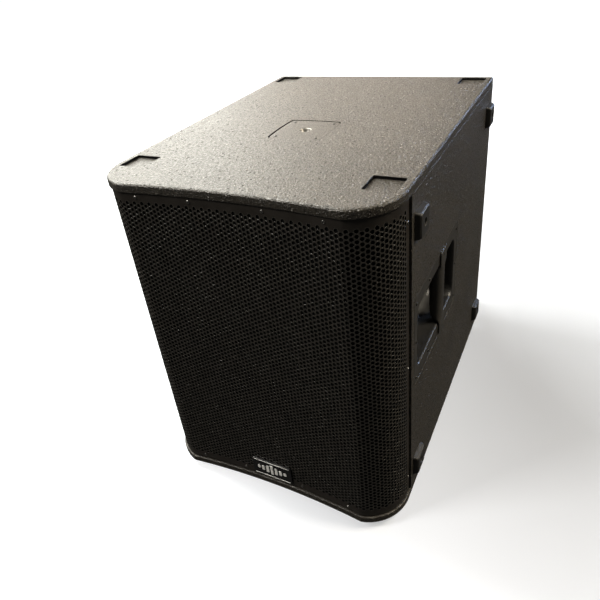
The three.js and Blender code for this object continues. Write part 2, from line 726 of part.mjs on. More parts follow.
const woofer = new THREE.Group();
woofer.position.z = WOOFER.z;
cabinet.add(woofer);
add('woofer_basket', wooferBasket(), MATERIALS.castMetal, woofer);
add('woofer_gasket', turned(WOOFER_PROFILES.gasket), MATERIALS.rubber, woofer);
add('woofer_surround', wooferSurround(), MATERIALS.rubber, woofer);
add('woofer_cone', turned(WOOFER_PROFILES.cone), MATERIALS.paper, woofer);
add('woofer_dust_cap', turned(WOOFER_PROFILES.dustCap, 20), MATERIALS.paper, woofer);
add('voice_coil', turned(WOOFER_PROFILES.coil), MATERIALS.copper, woofer);
add('woofer_spider', wooferSpider(), MATERIALS.cloth, woofer);
add('woofer_top_plate', turned(WOOFER_PROFILES.topPlate), MATERIALS.zinc, woofer);
add('woofer_magnet', turned(WOOFER_PROFILES.magnet), MATERIALS.ferrite, woofer);
add('woofer_pole_piece', turned(WOOFER_PROFILES.polePiece), MATERIALS.zinc, woofer);

add('pole_plate', polePlate(), MATERIALS.blackMetal).position.set(0, POLE.y, HEIGHT - POLE.thick);

for (const [name, side] of [['left', -1], ['right', 1]]) {
  const cup = side > 0 ? handleCup() : mirrored(handleCup(), -1, 1, 1);
  const grip = side > 0 ? handleGrip() : mirrored(handleGrip(), -1, 1, 1);
  add(`${name}_handle_cup`, cup, MATERIALS.plastic);
  add(`${name}_handle_grip`, grip, MATERIALS.plastic);
}

for (const [row, y] of [['front', FOOT.frontY], ['rear', FOOT.rearY]]) {
  for (const [side, x] of [['left', -POCKET.x], ['right', POCKET.x]]) {
    add(`bottom_foot_${row}_${side}`, foot(FOOT.bottomT), MATERIALS.rubber).position.set(x, y, -GAP);
  }
  for (const [level, z] of [['low', FOOT.lowZ], ['high', FOOT.highZ]]) {
    const pad = add(`side_foot_${row}_${level}`, foot(FOOT.sideT), MATERIALS.rubber);
    pad.rotation.y = -Math.PI / 2;
    pad.position.set(HALF_W + GAP, y, z);
  }
}

add('amp_panel', ampPanel(), MATERIALS.blackMetal);
add('amp_heat_sink', heatSink(), MATERIALS.castMetal);
add('amp_circuit_board', circuitBoard(), MATERIALS.board);
add('xlr_input', xlrSocket(CONTROLS.xlrIn, false), MATERIALS.blackMetal);
add('xlr_output', xlrSocket(CONTROLS.xlrOut, true), MATERIALS.blackMetal);
add('mains_inlet', mainsInlet(), MATERIALS.plastic);
add('power_switch', rocker(), MATERIALS.plastic);
add('gain_knob', gainKnob(), MATERIALS.plastic);
add('polarity_button', pushButton(), MATERIALS.plastic);

for (const [level, z] of [['low', CASTER.lowZ], ['high', CASTER.highZ]]) {
  for (const [side, x] of [['left', -CASTER.x], ['right', CASTER.x]]) {
    const name = `caster_${level}_${side}`;
    const caster = new THREE.Group();
    caster.position.set(x, DEPTH + GAP, z);
    cabinet.add(caster);
    add(`${name}_plate`, casterPlate(), MATERIALS.zinc, caster);
    add(`${name}_fork`, casterFork(), MATERIALS.zinc, caster);
    const hub = new THREE.Group();
    hub.position.set(0, CASTER.height - GAP - CASTER.wheelR, -CASTER.trail);
    caster.add(hub);
    add(`${name}_wheel`, casterWheel(), MATERIALS.tyre, hub);
    add(`${name}_axle`, casterAxle(), MATERIALS.zinc, hub);
  }
}

export default subwoofer;
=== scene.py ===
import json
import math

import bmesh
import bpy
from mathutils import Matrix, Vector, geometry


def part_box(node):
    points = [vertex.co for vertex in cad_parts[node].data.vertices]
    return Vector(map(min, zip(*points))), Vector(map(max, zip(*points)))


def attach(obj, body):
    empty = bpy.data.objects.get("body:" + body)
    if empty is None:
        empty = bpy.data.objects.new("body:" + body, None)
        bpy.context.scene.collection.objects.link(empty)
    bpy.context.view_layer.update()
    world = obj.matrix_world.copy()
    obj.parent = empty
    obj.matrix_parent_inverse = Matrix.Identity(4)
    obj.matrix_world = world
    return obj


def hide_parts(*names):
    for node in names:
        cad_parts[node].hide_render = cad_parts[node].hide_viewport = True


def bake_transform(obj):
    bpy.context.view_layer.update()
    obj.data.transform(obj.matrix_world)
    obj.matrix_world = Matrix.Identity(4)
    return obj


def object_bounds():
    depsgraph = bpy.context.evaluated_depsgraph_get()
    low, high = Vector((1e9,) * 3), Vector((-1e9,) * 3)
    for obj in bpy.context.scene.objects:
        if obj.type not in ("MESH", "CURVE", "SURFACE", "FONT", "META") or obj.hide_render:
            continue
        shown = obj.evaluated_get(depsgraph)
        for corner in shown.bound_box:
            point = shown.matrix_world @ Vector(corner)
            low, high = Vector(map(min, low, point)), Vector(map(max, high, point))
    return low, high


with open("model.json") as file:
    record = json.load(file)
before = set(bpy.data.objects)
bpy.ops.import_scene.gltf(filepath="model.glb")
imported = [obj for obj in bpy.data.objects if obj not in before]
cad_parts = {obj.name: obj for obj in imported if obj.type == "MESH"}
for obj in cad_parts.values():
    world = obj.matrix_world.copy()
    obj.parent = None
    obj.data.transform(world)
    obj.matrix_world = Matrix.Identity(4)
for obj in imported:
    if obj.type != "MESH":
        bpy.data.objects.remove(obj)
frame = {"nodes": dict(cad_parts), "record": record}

# The looks of a powered subwoofer cabinet: textured black box, perforated steel grille, bar handles,
# pole socket, rubber feet, four rear casters and an amplifier module.
#
# Pieces are built in millimetres in the box frame: x from the middle, y back from the front creases, z up
# from the box's underside. spot() turns those into the row frame, in metres.

CAD_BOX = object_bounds()
MM = 0.001
# Points of a piece that lie closer together than this, in metres, become one.
WELD = 2e-6

# ---- Driving dimensions in millimetres, as in the CAD.

WIDTH, HEIGHT, DEPTH = 518, 651, 692
HALF_W = WIDTH / 2
LID_T = 16
WALL_T = 16
ARRIS = 4.5

CREASE_X, HOLLOW, CORNER_Y = 192, 11, 84
FRONT_R = (CREASE_X ** 2 + HOLLOW ** 2) / (2 * HOLLOW)
CORNER_R = ((HALF_W - CREASE_X) ** 2 + CORNER_Y ** 2) / (2 * (HALF_W - CREASE_X))
SIDE_FRONT_Y = 97

GRILLE_INSET, GRILLE_END_Y = 3.5, 94.5
SHEET_T = 1.3
GRILLE_LOW, GRILLE_HIGH = LID_T + 1, HEIGHT - LID_T - 1
HOLE_PITCH, HOLE_COLUMN, HOLE_R = 8.17, 7.06, 3.3
HOLES_LOW, HOLE_ROWS, HOLES_END = 36.9, 71, 297

BADGE_W, BADGE_H, BADGE_T, BADGE_Z = 88, 45, 3, 46
POCKET_SIZE, POCKET_DEPTH, POCKET_X = 51, 5, 221
POCKET_Y = (94, 656)
FOOT_SIZE, FOOT_Y = 46, (131, 650)
FOOT_UNDER_T, FOOT_SIDE_T = 15.7, 10
SIDE_FOOT_Z = {"low": 66, "high": 580}
POLE_Y, POLE_SIZE, POLE_T, POLE_SCREW = 295, 100, 3, 40

HANDLE_Y, HANDLE_Z = 257, 357.5
HANDLE_W, HANDLE_H, HANDLE_T = 290, 184, 2.5
MOUTH_Y, MOUTH_W, MOUTH_H = 256, 248, 130
HANDLE_SCREW_Y, HANDLE_SCREW_Z = (-133.5, -56.5, 56.5, 133.5), 77.5
GRIP_Y, GRIP_W, GRIP_DEPTH, GRIP_PROUD = 287, 38, 25, 3.4

# Openings cut in the boards: width, height and corner radius.
HANDLE_OPENING, AMP_OPENING = (274, 160, 23), (268, 396, 6)
BAFFLE_W, BAFFLE_FRONT, BAFFLE_BACK = 492, 79, 96.7

WOOFER_Z, WOOFER_HOLE_R = 397, 213
PORT_X, PORT_Z, PORT_HOLE_R = 150, 91, 53.5
GAP = 0.3
PRINT_PROUD = 0.12
# The knob's scale runs this many degrees to each side of upright.
KNOB_TURN = 150
AMP_Z, AMP_W, AMP_H = 336, 292, 420
PANEL_FACE = DEPTH + 3.3
# Places on the amplifier panel, from its middle, in x and z.
KNOB, BUTTON, ROCKER = (-86, -60), (-28, -60), (92, -150)
XLR_IN, XLR_OUT, INLET = (-92, -150), (-40, -150), (36, -150)
SINK_W, SINK_H, SINK_BASE, SINK_OUT, FINS = 236, 170, 5, 24, 12
CASTER_X = 204
CASTER_Z = {"low": 78, "high": 578}
PLATE_W, PLATE_H, PLATE_T = 68, 92, 3
AXLE_OUT, TRAIL, WHEEL_R, WHEEL_HALF = 62, 28, 40, 12
LEG_IN, LEG_T, CROWN = 15.3, 3, 9

GRILLE_SCREW_X = (-165, -65, 65, 165)
GRILLE_SCREW_Z = (26, 627)
GRILLE_SIDE_SCREW = (89, (57.3, 326.9, 596.5))
FOAM_T, FOAM_END = 8, 9

# ---- The box frame.

ORIGIN = Vector((
    (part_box("left_side_panel")[0].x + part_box("right_side_panel")[1].x) / 2,
    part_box("back_panel")[1].y - DEPTH * MM,
    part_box("bottom_panel")[0].z,
))
X, Y, Z = Vector((1, 0, 0)), Vector((0, 1, 0)), Vector((0, 0, 1))
# The two directions along each face and the one out of it.
FACES = {
    "top": (X, Y, Z),
    "under": (X, -Y, -Z),
    "right": (Y, Z, X),
    "left": (-Y, Z, -X),
    "front": (X, Z, -Y),
    "rear": (-X, Z, Y),
}


def spot(x, y, z):
    return ORIGIN + Vector((x, y, z)) * MM


# ---- Mesh building.

class Solid:
    """Points and faces in the box frame, with a paint number for each face."""

    def __init__(self, face="top", centre=(0, 0, 0)):
        self.axes, self.centre = FACES[face], Vector(centre)
        self.points, self.faces, self.paints = [], [], []

    def ring(self, outline, out):
        """The outline, drawn along the face, at a distance out of it."""
        u, v, w = self.axes
        start = len(self.points)
        self.points += [self.centre + u * p[0] + v * p[1] + w * out for p in outline]
        return list(range(start, len(self.points)))

    def band(self, a, b, paint=0):
        for i in range(len(a)):
            j = (i + 1) % len(a)
            self.face((a[i], a[j], b[j], b[i]), paint)

    def bands(self, rings, paint=0):
        """A band between each ring and the next."""
        for a, b in zip(rings, rings[1:]):
            self.band(a, b, paint)

    def face(self, corners, paint=0):
        self.faces.append(tuple(corners))
        self.paints.append(paint)

    def add(self, other, paint=0):
        """Take in another solid, all in one paint."""
        start = len(self.points)
        self.points += other.points
        self.faces += [tuple(i + start for i in corners) for corners in other.faces]
        self.paints += [paint] * len(other.faces)

    def cap(self, *rings, paint=0):
        """A flat face between an outer ring and any rings inside it."""
        flat = [i for ring in rings for i in ring]
        loops = [[self.points[i] for i in ring] for ring in rings]
        for corners in geometry.tessellate_polygon(loops):
            self.face([flat[i] for i in corners], paint)

    def loft(self, stages, paint=0, ends=(True, True)):
        """Stages are (outline, out), with as many points in each."""
        rings = [self.ring(outline, out) for outline, out in stages]
        self.bands(rings, paint)
        for ring, closed in zip((rings[0], rings[-1]), ends):
            if closed:
                self.cap(ring, paint=paint)

    def spoke(self, profile, angle):
        """A profile of (radius, out) standing at one angle round the way out of the face."""
        u, v, w = self.axes
        start = len(self.points)
        way = u * math.cos(angle) + v * math.sin(angle)
        self.points += [self.centre + way * radius + w * out for radius, out in profile]
        return list(range(start, len(self.points)))

    def turn(self, profile, segments=48, paint=0):
        """A closed profile of (radius, out) turned about the way out of the face."""
        rings = []
        for radius, out in profile:
            rings.append(self.ring(circle(radius, segments) if radius else [(0, 0)], out))
        for a, b in zip(rings, rings[1:] + rings[:1]):
            if len(a) == 1 and len(b) == 1:
                continue
            if len(a) == 1 or len(b) == 1:
                tip, rim = (a, b) if len(a) == 1 else (b, a)
                for i in range(segments):
                    self.face((tip[0], rim[i], rim[(i + 1) % segments]), paint)
            else:
                self.band(a, b, paint)


def direction(angle):
    return Vector((math.cos(angle), math.sin(angle)))


def circle(radius, segments=24, u=0, v=0, start=0.0):
    step = 2 * math.pi / segments
    return [(u + radius * math.cos(start + i * step), v + radius * math.sin(start + i * step))
            for i in range(segments)]


def rounded(width, height, radius, u=0, v=0, steps=6):
    """A rectangle with rounded corners, 4 * (steps + 1) points."""
    radius = min(radius, width / 2, height / 2)
    points = []
    for turn, (su, sv) in enumerate(((1, 1), (-1, 1), (-1, -1), (1, -1))):
        cu, cv = u + su * (width / 2 - radius), v + sv * (height / 2 - radius)
        for i in range(steps + 1):
            angle = (turn + i / steps) * math.pi / 2
            points.append((cu + radius * math.cos(angle), cv + radius * math.sin(angle)))
    return points


def grown(outline, by):
    """The outline moved outwards along its own normals, by a number or one number for each point."""
    n = len(outline)
    amounts = by if isinstance(by, (list, tuple)) else [by] * n
    area = sum(outline[i][0] * outline[(i + 1) % n][1] - outline[(i + 1) % n][0] * outline[i][1]
               for i in range(n))
    turn = 1 if area > 0 else -1
    moved = []
    for i in range(n):
        here = Vector(outline[i])
        before = (here - Vector(outline[i - 1])).normalized()
        after = (Vector(outline[(i + 1) % n]) - here).normalized()
        normal_a = Vector((before.y, -before.x)) * turn
        normal_b = Vector((after.y, -after.x)) * turn
        middle = (normal_a + normal_b).normalized()
        reach = amounts[i] / max(0.5, middle.dot(normal_a))
        moved.append(tuple(here + middle * reach))
    return moved


def rim(outline, out, radius, steps=4, outward=-1, masks=None):
    """Stages of a rounded edge, from the flat face (set in by the radius) down to the wall."""
    masks = masks or [1] * len(outline)
    stages = []
    for i in range(steps + 1):
        angle = i / steps * math.pi / 2
        side = radius * (1 - math.sin(angle)) * outward
        drop = radius * (1 - math.cos(angle))
        stages.append((grown(outline, [side * m for m in masks]), out - drop))
    return stages


def slab(solid, outline, high, low, round_high=1.0, round_low=1.0, holes=(), masks_low=None, paint=0,
        shaded_wall_paint=None):
    """A plate between two heights, with its edges rounded. A hole is (outline, floor, rim radius), and
    its floor is None where it goes right through; an inner hole can follow as a fourth part. The walls of
    a hole with a floor can take a paint of their own: a darker one, painted shade in the hollow."""
    below = reversed(rim(outline, low, round_low, masks=masks_low))
    down = [(ring, 2 * low - out) for ring, out in below]
    walls = [solid.ring(o, h) for o, h in rim(outline, high, round_high) + down]
    solid.bands(walls, paint)
    tops, bottoms = [walls[0]], [walls[-1]]
    for shape, floor, radius, *inner in holes:
        stages = rim(shape, high, radius, outward=1, steps=3)
        wall_start = len(stages) - 1
        if floor is None:
            stages.append((shape, low))
        else:
            # A cove where the wall meets the floor.
            cove = min(1.0, (high - floor) / 4)
            stages += [(grown(shape, -cove * (1 - math.cos(a))), floor + cove * (1 - math.sin(a)))
                       for a in (0, 0.4, 0.8, 1.2, math.pi / 2)]
        rings = [solid.ring(o, h) for o, h in stages]
        # The wall and cove of a hole with a floor can take the wall paint, which is painted shade.
        wall = paint if floor is None or shaded_wall_paint is None else shaded_wall_paint
        for i, (a, b) in enumerate(zip(rings, rings[1:])):
            solid.band(a, b, wall if i >= wall_start else paint)
        tops.append(rings[0])
        if floor is None:
            bottoms.append(rings[-1])
        elif inner:
            through = [solid.ring(inner[0], h) for h in (floor, low)]
            solid.band(*through, paint)
            solid.cap(rings[-1], through[0], paint=paint)
            bottoms.append(through[1])
        else:
            solid.cap(rings[-1], paint=paint)
    solid.cap(*tops, paint=paint)
    solid.cap(*bottoms, paint=paint)


def piece(name, solid, paints, stands_for, body="cabinet", sharp=32):
    """An object from a solid, in the named paints, riding on a CAD body. Its first paint is its first material,
    and edges that turn by more degrees than sharp stay sharp."""
    paints = [paints] if isinstance(paints, str) else paints
    mesh = bpy.data.meshes.new(name)
    mesh.from_pydata([ORIGIN + p * MM for p in solid.points], [], solid.faces)
    mesh.polygons.foreach_set("material_index", solid.paints)
    built = bmesh.new()
    built.from_mesh(mesh)
    bmesh.ops.remove_doubles(built, verts=built.verts, dist=WELD)
    bmesh.ops.dissolve_degenerate(built, edges=built.edges, dist=WELD / 2)
    finish_mesh(built, mesh, [PAINT[paint] for paint in paints], sharp)
    return settle(name, mesh, body, stands_for)


def finish_mesh(built, mesh, materials, sharp):
    bmesh.ops.recalc_face_normals(built, faces=built.faces)
    built.to_mesh(mesh)
    built.free()
    for material in materials:
        mesh.materials.append(material)
    mesh.shade_smooth()
    mesh.set_sharp_from_angle(angle=math.radians(sharp))


def settle(name, mesh, body, stands_for):
    made = linked(name, mesh)
    made.modifiers.new("normals", "WEIGHTED_NORMAL").keep_sharp = True
    if body:
        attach(made, body)
    if stands_for:
        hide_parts(stands_for)
    return made


def linked(name, data):
    """A new object in the scene."""
    made = bpy.data.objects.new(name, data)
    bpy.context.scene.collection.objects.link(made)
    return made


# ---- Materials.

class Paint:
    """A node material under construction, in object coordinates."""

    def __init__(self, name, metal=0.0, specular=0.5):
        self.material = bpy.data.materials.new(name)
        self.material.use_nodes = True
        self.tree = self.material.node_tree
        self.tree.nodes.clear()
        output = self.tree.nodes.new("ShaderNodeOutputMaterial")
        self.shader = self.tree.nodes.new("ShaderNodeBsdfPrincipled")
        self.tree.links.new(self.shader.outputs[0], output.inputs[0])
        self.shader.inputs["Metallic"].default_value = metal
        self.shader.inputs["Specular IOR Level"].default_value = specular
        self.coordinates = self.tree.nodes.new("ShaderNodeTexCoord").outputs["Object"]

    def node(self, kind, inputs=None, **settings):
        made = self.tree.nodes.new("ShaderNode" + kind)
        for key, value in settings.items():
            setattr(made, key, value)
        for key, value in (inputs or {}).items():
            if isinstance(value, bpy.types.NodeSocket):
                self.tree.links.new(value, made.inputs[key])
            else:
                made.inputs[key].default_value = value
        return made

    def link(self, value, socket):
        self.tree.links.new(value, self.shader.inputs[socket])

    def noise(self, size, detail=3, roughness=0.55, stretch=None):
        """Smooth noise whose lumps are about that many millimetres across."""
        vector = self.coordinates
        if stretch:
            vector = self.node("Mapping", {"Vector": vector, "Scale": stretch}).outputs[0]
        return self.node("TexNoise", {
            "Vector": vector, "Scale": 1 / (size * MM), "Detail": detail, "Roughness": roughness,
        }).outputs["Fac"]

    def cells(self, size, feature="F1", **inputs):
        """A node that divides space into cells about that many millimetres across."""
        return self.node("TexVoronoi", {"Vector": self.coordinates, "Scale": 1 / (size * MM), **inputs},
                         feature=feature)

    def bands(self, scale, distortion, direction):
        return self.node("TexWave", {
            "Vector": self.coordinates, "Scale": scale, "Distortion": distortion,
        }, wave_type="BANDS", bands_direction=direction).outputs["Fac"]

    def between(self, fac, low, high, to_low=0.0, to_high=1.0):
        return self.node("MapRange", {
            "Value": fac, "From Min": low, "From Max": high, "To Min": to_low, "To Max": to_high,
        }).outputs[0]

    def sum(self, a, b, how="ADD"):
        return self.node("Math", {0: a, 1: b}, operation=how).outputs[0]

    def times(self, a, b):
        return self.sum(a, b, "MULTIPLY")

    def mix(self, fac, a, b):
        made = self.node("Mix", {"Factor": fac}, data_type="RGBA")
        for socket, value in ((made.inputs[6], a), (made.inputs[7], b)):
            if isinstance(value, bpy.types.NodeSocket):
                self.tree.links.new(value, socket)
            else:
                socket.default_value = (*value, 1)
        return made.outputs[2]

    def edges(self, radius=1.2):
        """Near 1 along rounded edges and 0 on flat faces."""
        soft = self.node("Bevel", {"Radius": radius * MM}, samples=4).outputs[0]
        flat = self.node("NewGeometry").outputs["Normal"]
        dot = self.node("VectorMath", {0: soft, 1: flat}, operation="DOT_PRODUCT").outputs["Value"]
        return self.between(dot, 0.985, 0.80)

    def bump(self, height, depth, strength=1.0, under=None):
        inputs = {"Height": height, "Distance": depth * MM, "Strength": strength}
        if under is not None:
            inputs["Normal"] = under
        return self.node("Bump", inputs).outputs[0]

    def finish(self, colour, gloss, rough, height, depth, under=None):
        """The colour, a roughness that follows gloss between two values, and height as relief."""
        self.link(colour, "Base Color")
        self.link(self.between(gloss, 0.3, 0.7, *rough), "Roughness")
        self.link(self.bump(height, depth, under=under), "Normal")
        return self.material


def surface(name, dark, light, rough, grain=1.2, depth=0.05, metal=0.0, specular=0.5, blotch=60, edge_tint=None,
            edge_tint_amount=0.5, stretch=None):
    """Most finishes: two colours blended by broad and fine noise, uneven gloss, a fine grain and edges tinted
    another colour, which is wear, and on the rubber partly a painted highlight of lit bevels.
    """
    p = Paint(name, metal, specular)
    broad = p.between(p.noise(blotch, 4), 0.35, 0.65)
    fine = p.noise(grain, 3, stretch=stretch)
    tone = p.sum(p.times(broad, 0.6), p.times(p.between(fine, 0.3, 0.7), 0.4))
    colour = p.mix(tone, dark, light)
    # The edge tint is wear; on the rubber it is also a painted highlight on the feet's lit bevels.
    if edge_tint:
        tinted_edges = p.times(p.edges(), p.between(p.noise(7, 5, 0.7), 0.45, 0.62))
        colour = p.mix(p.times(tinted_edges, edge_tint_amount), colour, edge_tint)
    return p.finish(colour, p.noise(blotch / 4, 5), rough, fine, depth)


def textured_paint(name="textured_paint", grain=1.0, depth=1.0):
    """Sprayed textured paint: hard pebbles of uneven height in a satin coat, with bright grit and pits."""
    p = Paint(name, specular=0.55)
    pebbles = p.cells(3.1 * grain, "SMOOTH_F1", Smoothness=0.45, Randomness=1.0).outputs["Distance"]
    clumps = p.noise(4.2 * grain, 3, 0.6)
    specks = p.noise(2.6 * grain, 2, 0.5)
    swell = p.noise(13, 2)
    broad = p.between(p.noise(120, 4), 0.35, 0.65)
    crowns = p.between(p.sum(clumps, p.times(pebbles, 0.35), "SUBTRACT"), 0.18, 0.46)
    tone = p.sum(p.times(broad, 0.3), p.times(crowns, 0.7))
    colour = p.mix(tone, (0.0145, 0.0126, 0.0096), (0.043, 0.0373, 0.0292))
    grit = p.cells(8.5 * grain)
    kind = p.node("SeparateColor", {"Color": grit.outputs["Color"]}).outputs[0]
    edge = p.edges(1.6)
    # The rubbed edges have neither grit nor pits.
    near = p.times(p.between(grit.outputs["Distance"], 0.25, 0.13), p.between(edge, 0.0, 0.4, 1.0, 0.0))
    bright = p.times(near, p.between(kind, 0.54, 0.56))
    pit = p.times(near, p.between(kind, 0.34, 0.32))
    colour = p.mix(p.times(bright, 0.30), colour, (0.42, 0.40, 0.36))
    colour = p.mix(p.times(pit, 0.75), colour, (0.004, 0.0035, 0.003))
    tinted_edges = p.times(edge, p.between(p.noise(5, 5, 0.7), 0.5, 0.62))
    colour = p.mix(p.times(tinted_edges, 0.35), colour, (0.12, 0.108, 0.088))
    p.link(colour, "Base Color")
    rough = p.sum(p.between(clumps, 0.35, 0.65, 0.52, 0.33), p.times(pit, 0.5))
    rough = p.times(rough, p.between(bright, 0.0, 1.0, 1.0, 0.4))
    p.link(p.times(rough, p.between(edge, 0.0, 1.0, 1.0, 0.5)), "Roughness")
    # Only the tallest specks stand clear of the coat.
    tall = p.between(specks, 0.52, 0.66)
    rubbed = p.between(edge, 0.0, 1.0, 1.0, 0.15)
    coarse = p.bump(swell, 0.4 * depth, p.times(rubbed, 0.5))
    lumpy = p.bump(clumps, 0.8 * depth, p.times(rubbed, 0.8), coarse)
    grained = p.bump(pebbles, 0.6 * depth, p.times(rubbed, 0.8), lumpy)
    raised = p.sum(p.sum(tall, p.times(bright, 1.8)), p.times(pit, 2.2), "SUBTRACT")
    p.link(p.bump(raised, 0.55 * depth, rubbed, grained), "Normal")
    return p.material


def bare_plywood():
    p = Paint("bare_plywood")
    plies = p.bands(180.0, 1.5, "Y")
    fibre = p.noise(2, 4, 0.6, stretch=(8, 8, 0.6))
    tone = p.sum(p.times(plies, 0.35), p.times(fibre, 0.65))
    return p.finish(p.mix(tone, (0.30, 0.19, 0.09), (0.62, 0.45, 0.27)), fibre, (0.6, 0.8), fibre, 0.12)


def perforated_web():
    """Powder coat on the webs between the punched holes, rounded over so that it glints at their edges."""
    p = Paint("grille_web", specular=1.0)
    fine = p.noise(1.6, 3)
    colour = p.mix(p.between(p.noise(14, 4), 0.3, 0.7), (0.022, 0.0199, 0.0169), (0.046, 0.0416, 0.0353))
    rounded_over = p.node("Bevel", {"Radius": 0.9 * MM}, samples=8).outputs[0]
    return p.finish(colour, p.noise(17, 5), (0.23, 0.33), fine, 0.06, rounded_over)


def open_foam():
    p = Paint("grille_foam", specular=0.1)
    pores = p.cells(1.3).outputs["Distance"]
    colour = p.mix(p.between(pores, 0.1, 0.6), (0.0008, 0.0008, 0.0008), (0.005, 0.005, 0.0048))
    return p.finish(colour, p.noise(3, 3), (0.9, 1.0), pores, 0.5)


def woven_cloth():
    p = Paint("spider_cloth")
    threads = p.times(p.bands(420.0, 0.6, "X"), p.bands(420.0, 0.6, "Z"))
    return p.finish(p.mix(threads, (0.20, 0.12, 0.05), (0.46, 0.31, 0.15)), p.noise(4, 3), (0.75, 0.95), threads, 0.2)


def wound_wire():
    p = Paint("coil_copper", metal=1.0)
    turns = p.bands(600.0, 0.1, "Y")
    return p.finish(p.mix(turns, (0.34, 0.14, 0.06), (0.75, 0.42, 0.22)), p.noise(5, 3), (0.25, 0.4), turns, 0.15)


def printed_board():
    p = Paint("circuit_green")
    tracks = p.cells(1 / 0.09)
    tracks.distance = "CHEBYCHEV"
    lines = p.between(tracks.outputs["Distance"], 0.28, 0.30)
    return p.finish(p.mix(lines, (0.02, 0.13, 0.05), (0.05, 0.24, 0.10)), p.noise(4, 3), (0.3, 0.5), lines, 0.05)


# The frame's own materials have some of these names too, and Blender then adds a number to the new ones.
PAINT = {material.name.split(".")[0]: material for material in (
    textured_paint(),
    textured_paint("plate_paint", 0.5, 0.3),
    bare_plywood(),
    open_foam(),
    woven_cloth(),
    wound_wire(),
    printed_board(),
    surface("grille_steel", (0.011, 0.0092, 0.0075), (0.024, 0.0202, 0.0165), (0.34, 0.48), grain=1.6,
            depth=0.12, blotch=70),
    perforated_web(),
    # Near-black, for the grille's back and hole walls and for the walls of the lid's pockets and pole recess: painted
    # shade in those hollows.
    surface("grille_inside", (0.0010, 0.0009, 0.0008), (0.0022, 0.0020, 0.0018), (0.6, 0.8), grain=1.6,
            specular=0.1),
    surface("badge_black", (0.006, 0.006, 0.007), (0.013, 0.013, 0.014), (0.16, 0.30), grain=0.6, depth=0.01),
    surface("badge_line", (0.88, 0.87, 0.85), (0.95, 0.94, 0.92), (0.22, 0.38), grain=0.5, depth=0.01,
            metal=0.05),
    surface("moulded_black", (0.017, 0.0155, 0.0133), (0.037, 0.0342, 0.0298), (0.30, 0.42), grain=0.9,
            depth=0.05, edge_tint=(0.21, 0.20, 0.18), edge_tint_amount=0.5),
    # Darker than the moulded plastic, for the faces inside the handle cups: painted shade in the cup.
    surface("cup_black", (0.007, 0.0068, 0.0065), (0.016, 0.0156, 0.015), (0.36, 0.50), grain=0.9, depth=0.04),
    # Its lighter edges are partly wear and partly a painted highlight of the feet's lit bevels.
    surface("rubber_black", (0.0085, 0.008, 0.0072), (0.019, 0.0178, 0.016), (0.42, 0.58), grain=1.0,
            depth=0.08, specular=0.4, edge_tint=(0.26, 0.252, 0.235), edge_tint_amount=0.6),
    surface("cast_frame", (0.025, 0.025, 0.027), (0.06, 0.06, 0.064), (0.42, 0.6), grain=1.4, depth=0.12,
            metal=0.4, edge_tint=(0.25, 0.25, 0.25), edge_tint_amount=0.3),
    surface("cone_paper", (0.013, 0.013, 0.015), (0.034, 0.034, 0.038), (0.7, 0.9), grain=1.6, depth=0.15,
            stretch=(1, 0.4, 1)),
    surface("ferrite", (0.03, 0.03, 0.034), (0.06, 0.06, 0.066), (0.6, 0.8), grain=1.0, depth=0.1),
    surface("zinc_steel", (0.42, 0.43, 0.44), (0.66, 0.67, 0.68), (0.24, 0.42), grain=2.0, depth=0.02,
            metal=1.0, blotch=14, edge_tint=(0.34, 0.30, 0.26), edge_tint_amount=0.5),
    surface("black_metal", (0.014, 0.014, 0.014), (0.028, 0.0275, 0.027), (0.40, 0.56), grain=0.8, depth=0.06,
            edge_tint=(0.20, 0.20, 0.20), edge_tint_amount=0.3),
    surface("socket_thread", (0.17, 0.163, 0.150), (0.32, 0.305, 0.280), (0.30, 0.45), grain=0.8, depth=0.02,
            metal=0.8, edge_tint=(0.3, 0.29, 0.26), edge_tint_amount=0.5),
    surface("screw_bright", (0.16, 0.155, 0.15), (0.30, 0.295, 0.28), (0.18, 0.30), grain=0.8, depth=0.02,
            metal=0.9, edge_tint=(0.6, 0.6, 0.58), edge_tint_amount=0.6),
    surface("screw_black", (0.03, 0.03, 0.03), (0.07, 0.068, 0.065), (0.25, 0.4), grain=0.8, depth=0.02,
            metal=0.8, edge_tint=(0.4, 0.4, 0.38), edge_tint_amount=0.6),
    surface("heat_sink_black", (0.016, 0.016, 0.018), (0.032, 0.032, 0.035), (0.35, 0.5), grain=1.0, depth=0.04,
            metal=0.5, edge_tint=(0.3, 0.3, 0.3), edge_tint_amount=0.35, stretch=(1, 1, 0.15)),
    surface("caster_tyre", (0.022, 0.022, 0.023), (0.055, 0.054, 0.052), (0.6, 0.85), grain=1.1, depth=0.1,
            edge_tint=(0.12, 0.115, 0.105), edge_tint_amount=0.6),
    surface("panel_black", (0.012, 0.0118, 0.0115), (0.024, 0.0235, 0.023), (0.42, 0.58), grain=1.3, depth=0.10,
            edge_tint=(0.14, 0.14, 0.135), edge_tint_amount=0.4),
    surface("hub_black", (0.016, 0.0165, 0.018), (0.032, 0.0325, 0.035), (0.36, 0.52), grain=0.9, depth=0.06,
            edge_tint=(0.10, 0.10, 0.10), edge_tint_amount=0.4),
    surface("print_white", (0.34, 0.34, 0.335), (0.50, 0.50, 0.49), (0.45, 0.6), grain=0.5, depth=0.01),
    surface("contact_metal", (0.60, 0.55, 0.42), (0.80, 0.74, 0.58), (0.2, 0.35), grain=0.8, depth=0.01,
            metal=1.0, blotch=10),
)}


# ---- The front's plan line.

def circles_meet(a, radius_a, b, radius_b):
    apart = (b - a).length
    along = (radius_a ** 2 - radius_b ** 2 + apart ** 2) / (2 * apart)
    aside = math.sqrt(radius_a ** 2 - along ** 2)
    toward = (b - a) / apart
    return a + toward * along + Vector((toward.y, -toward.x)) * aside


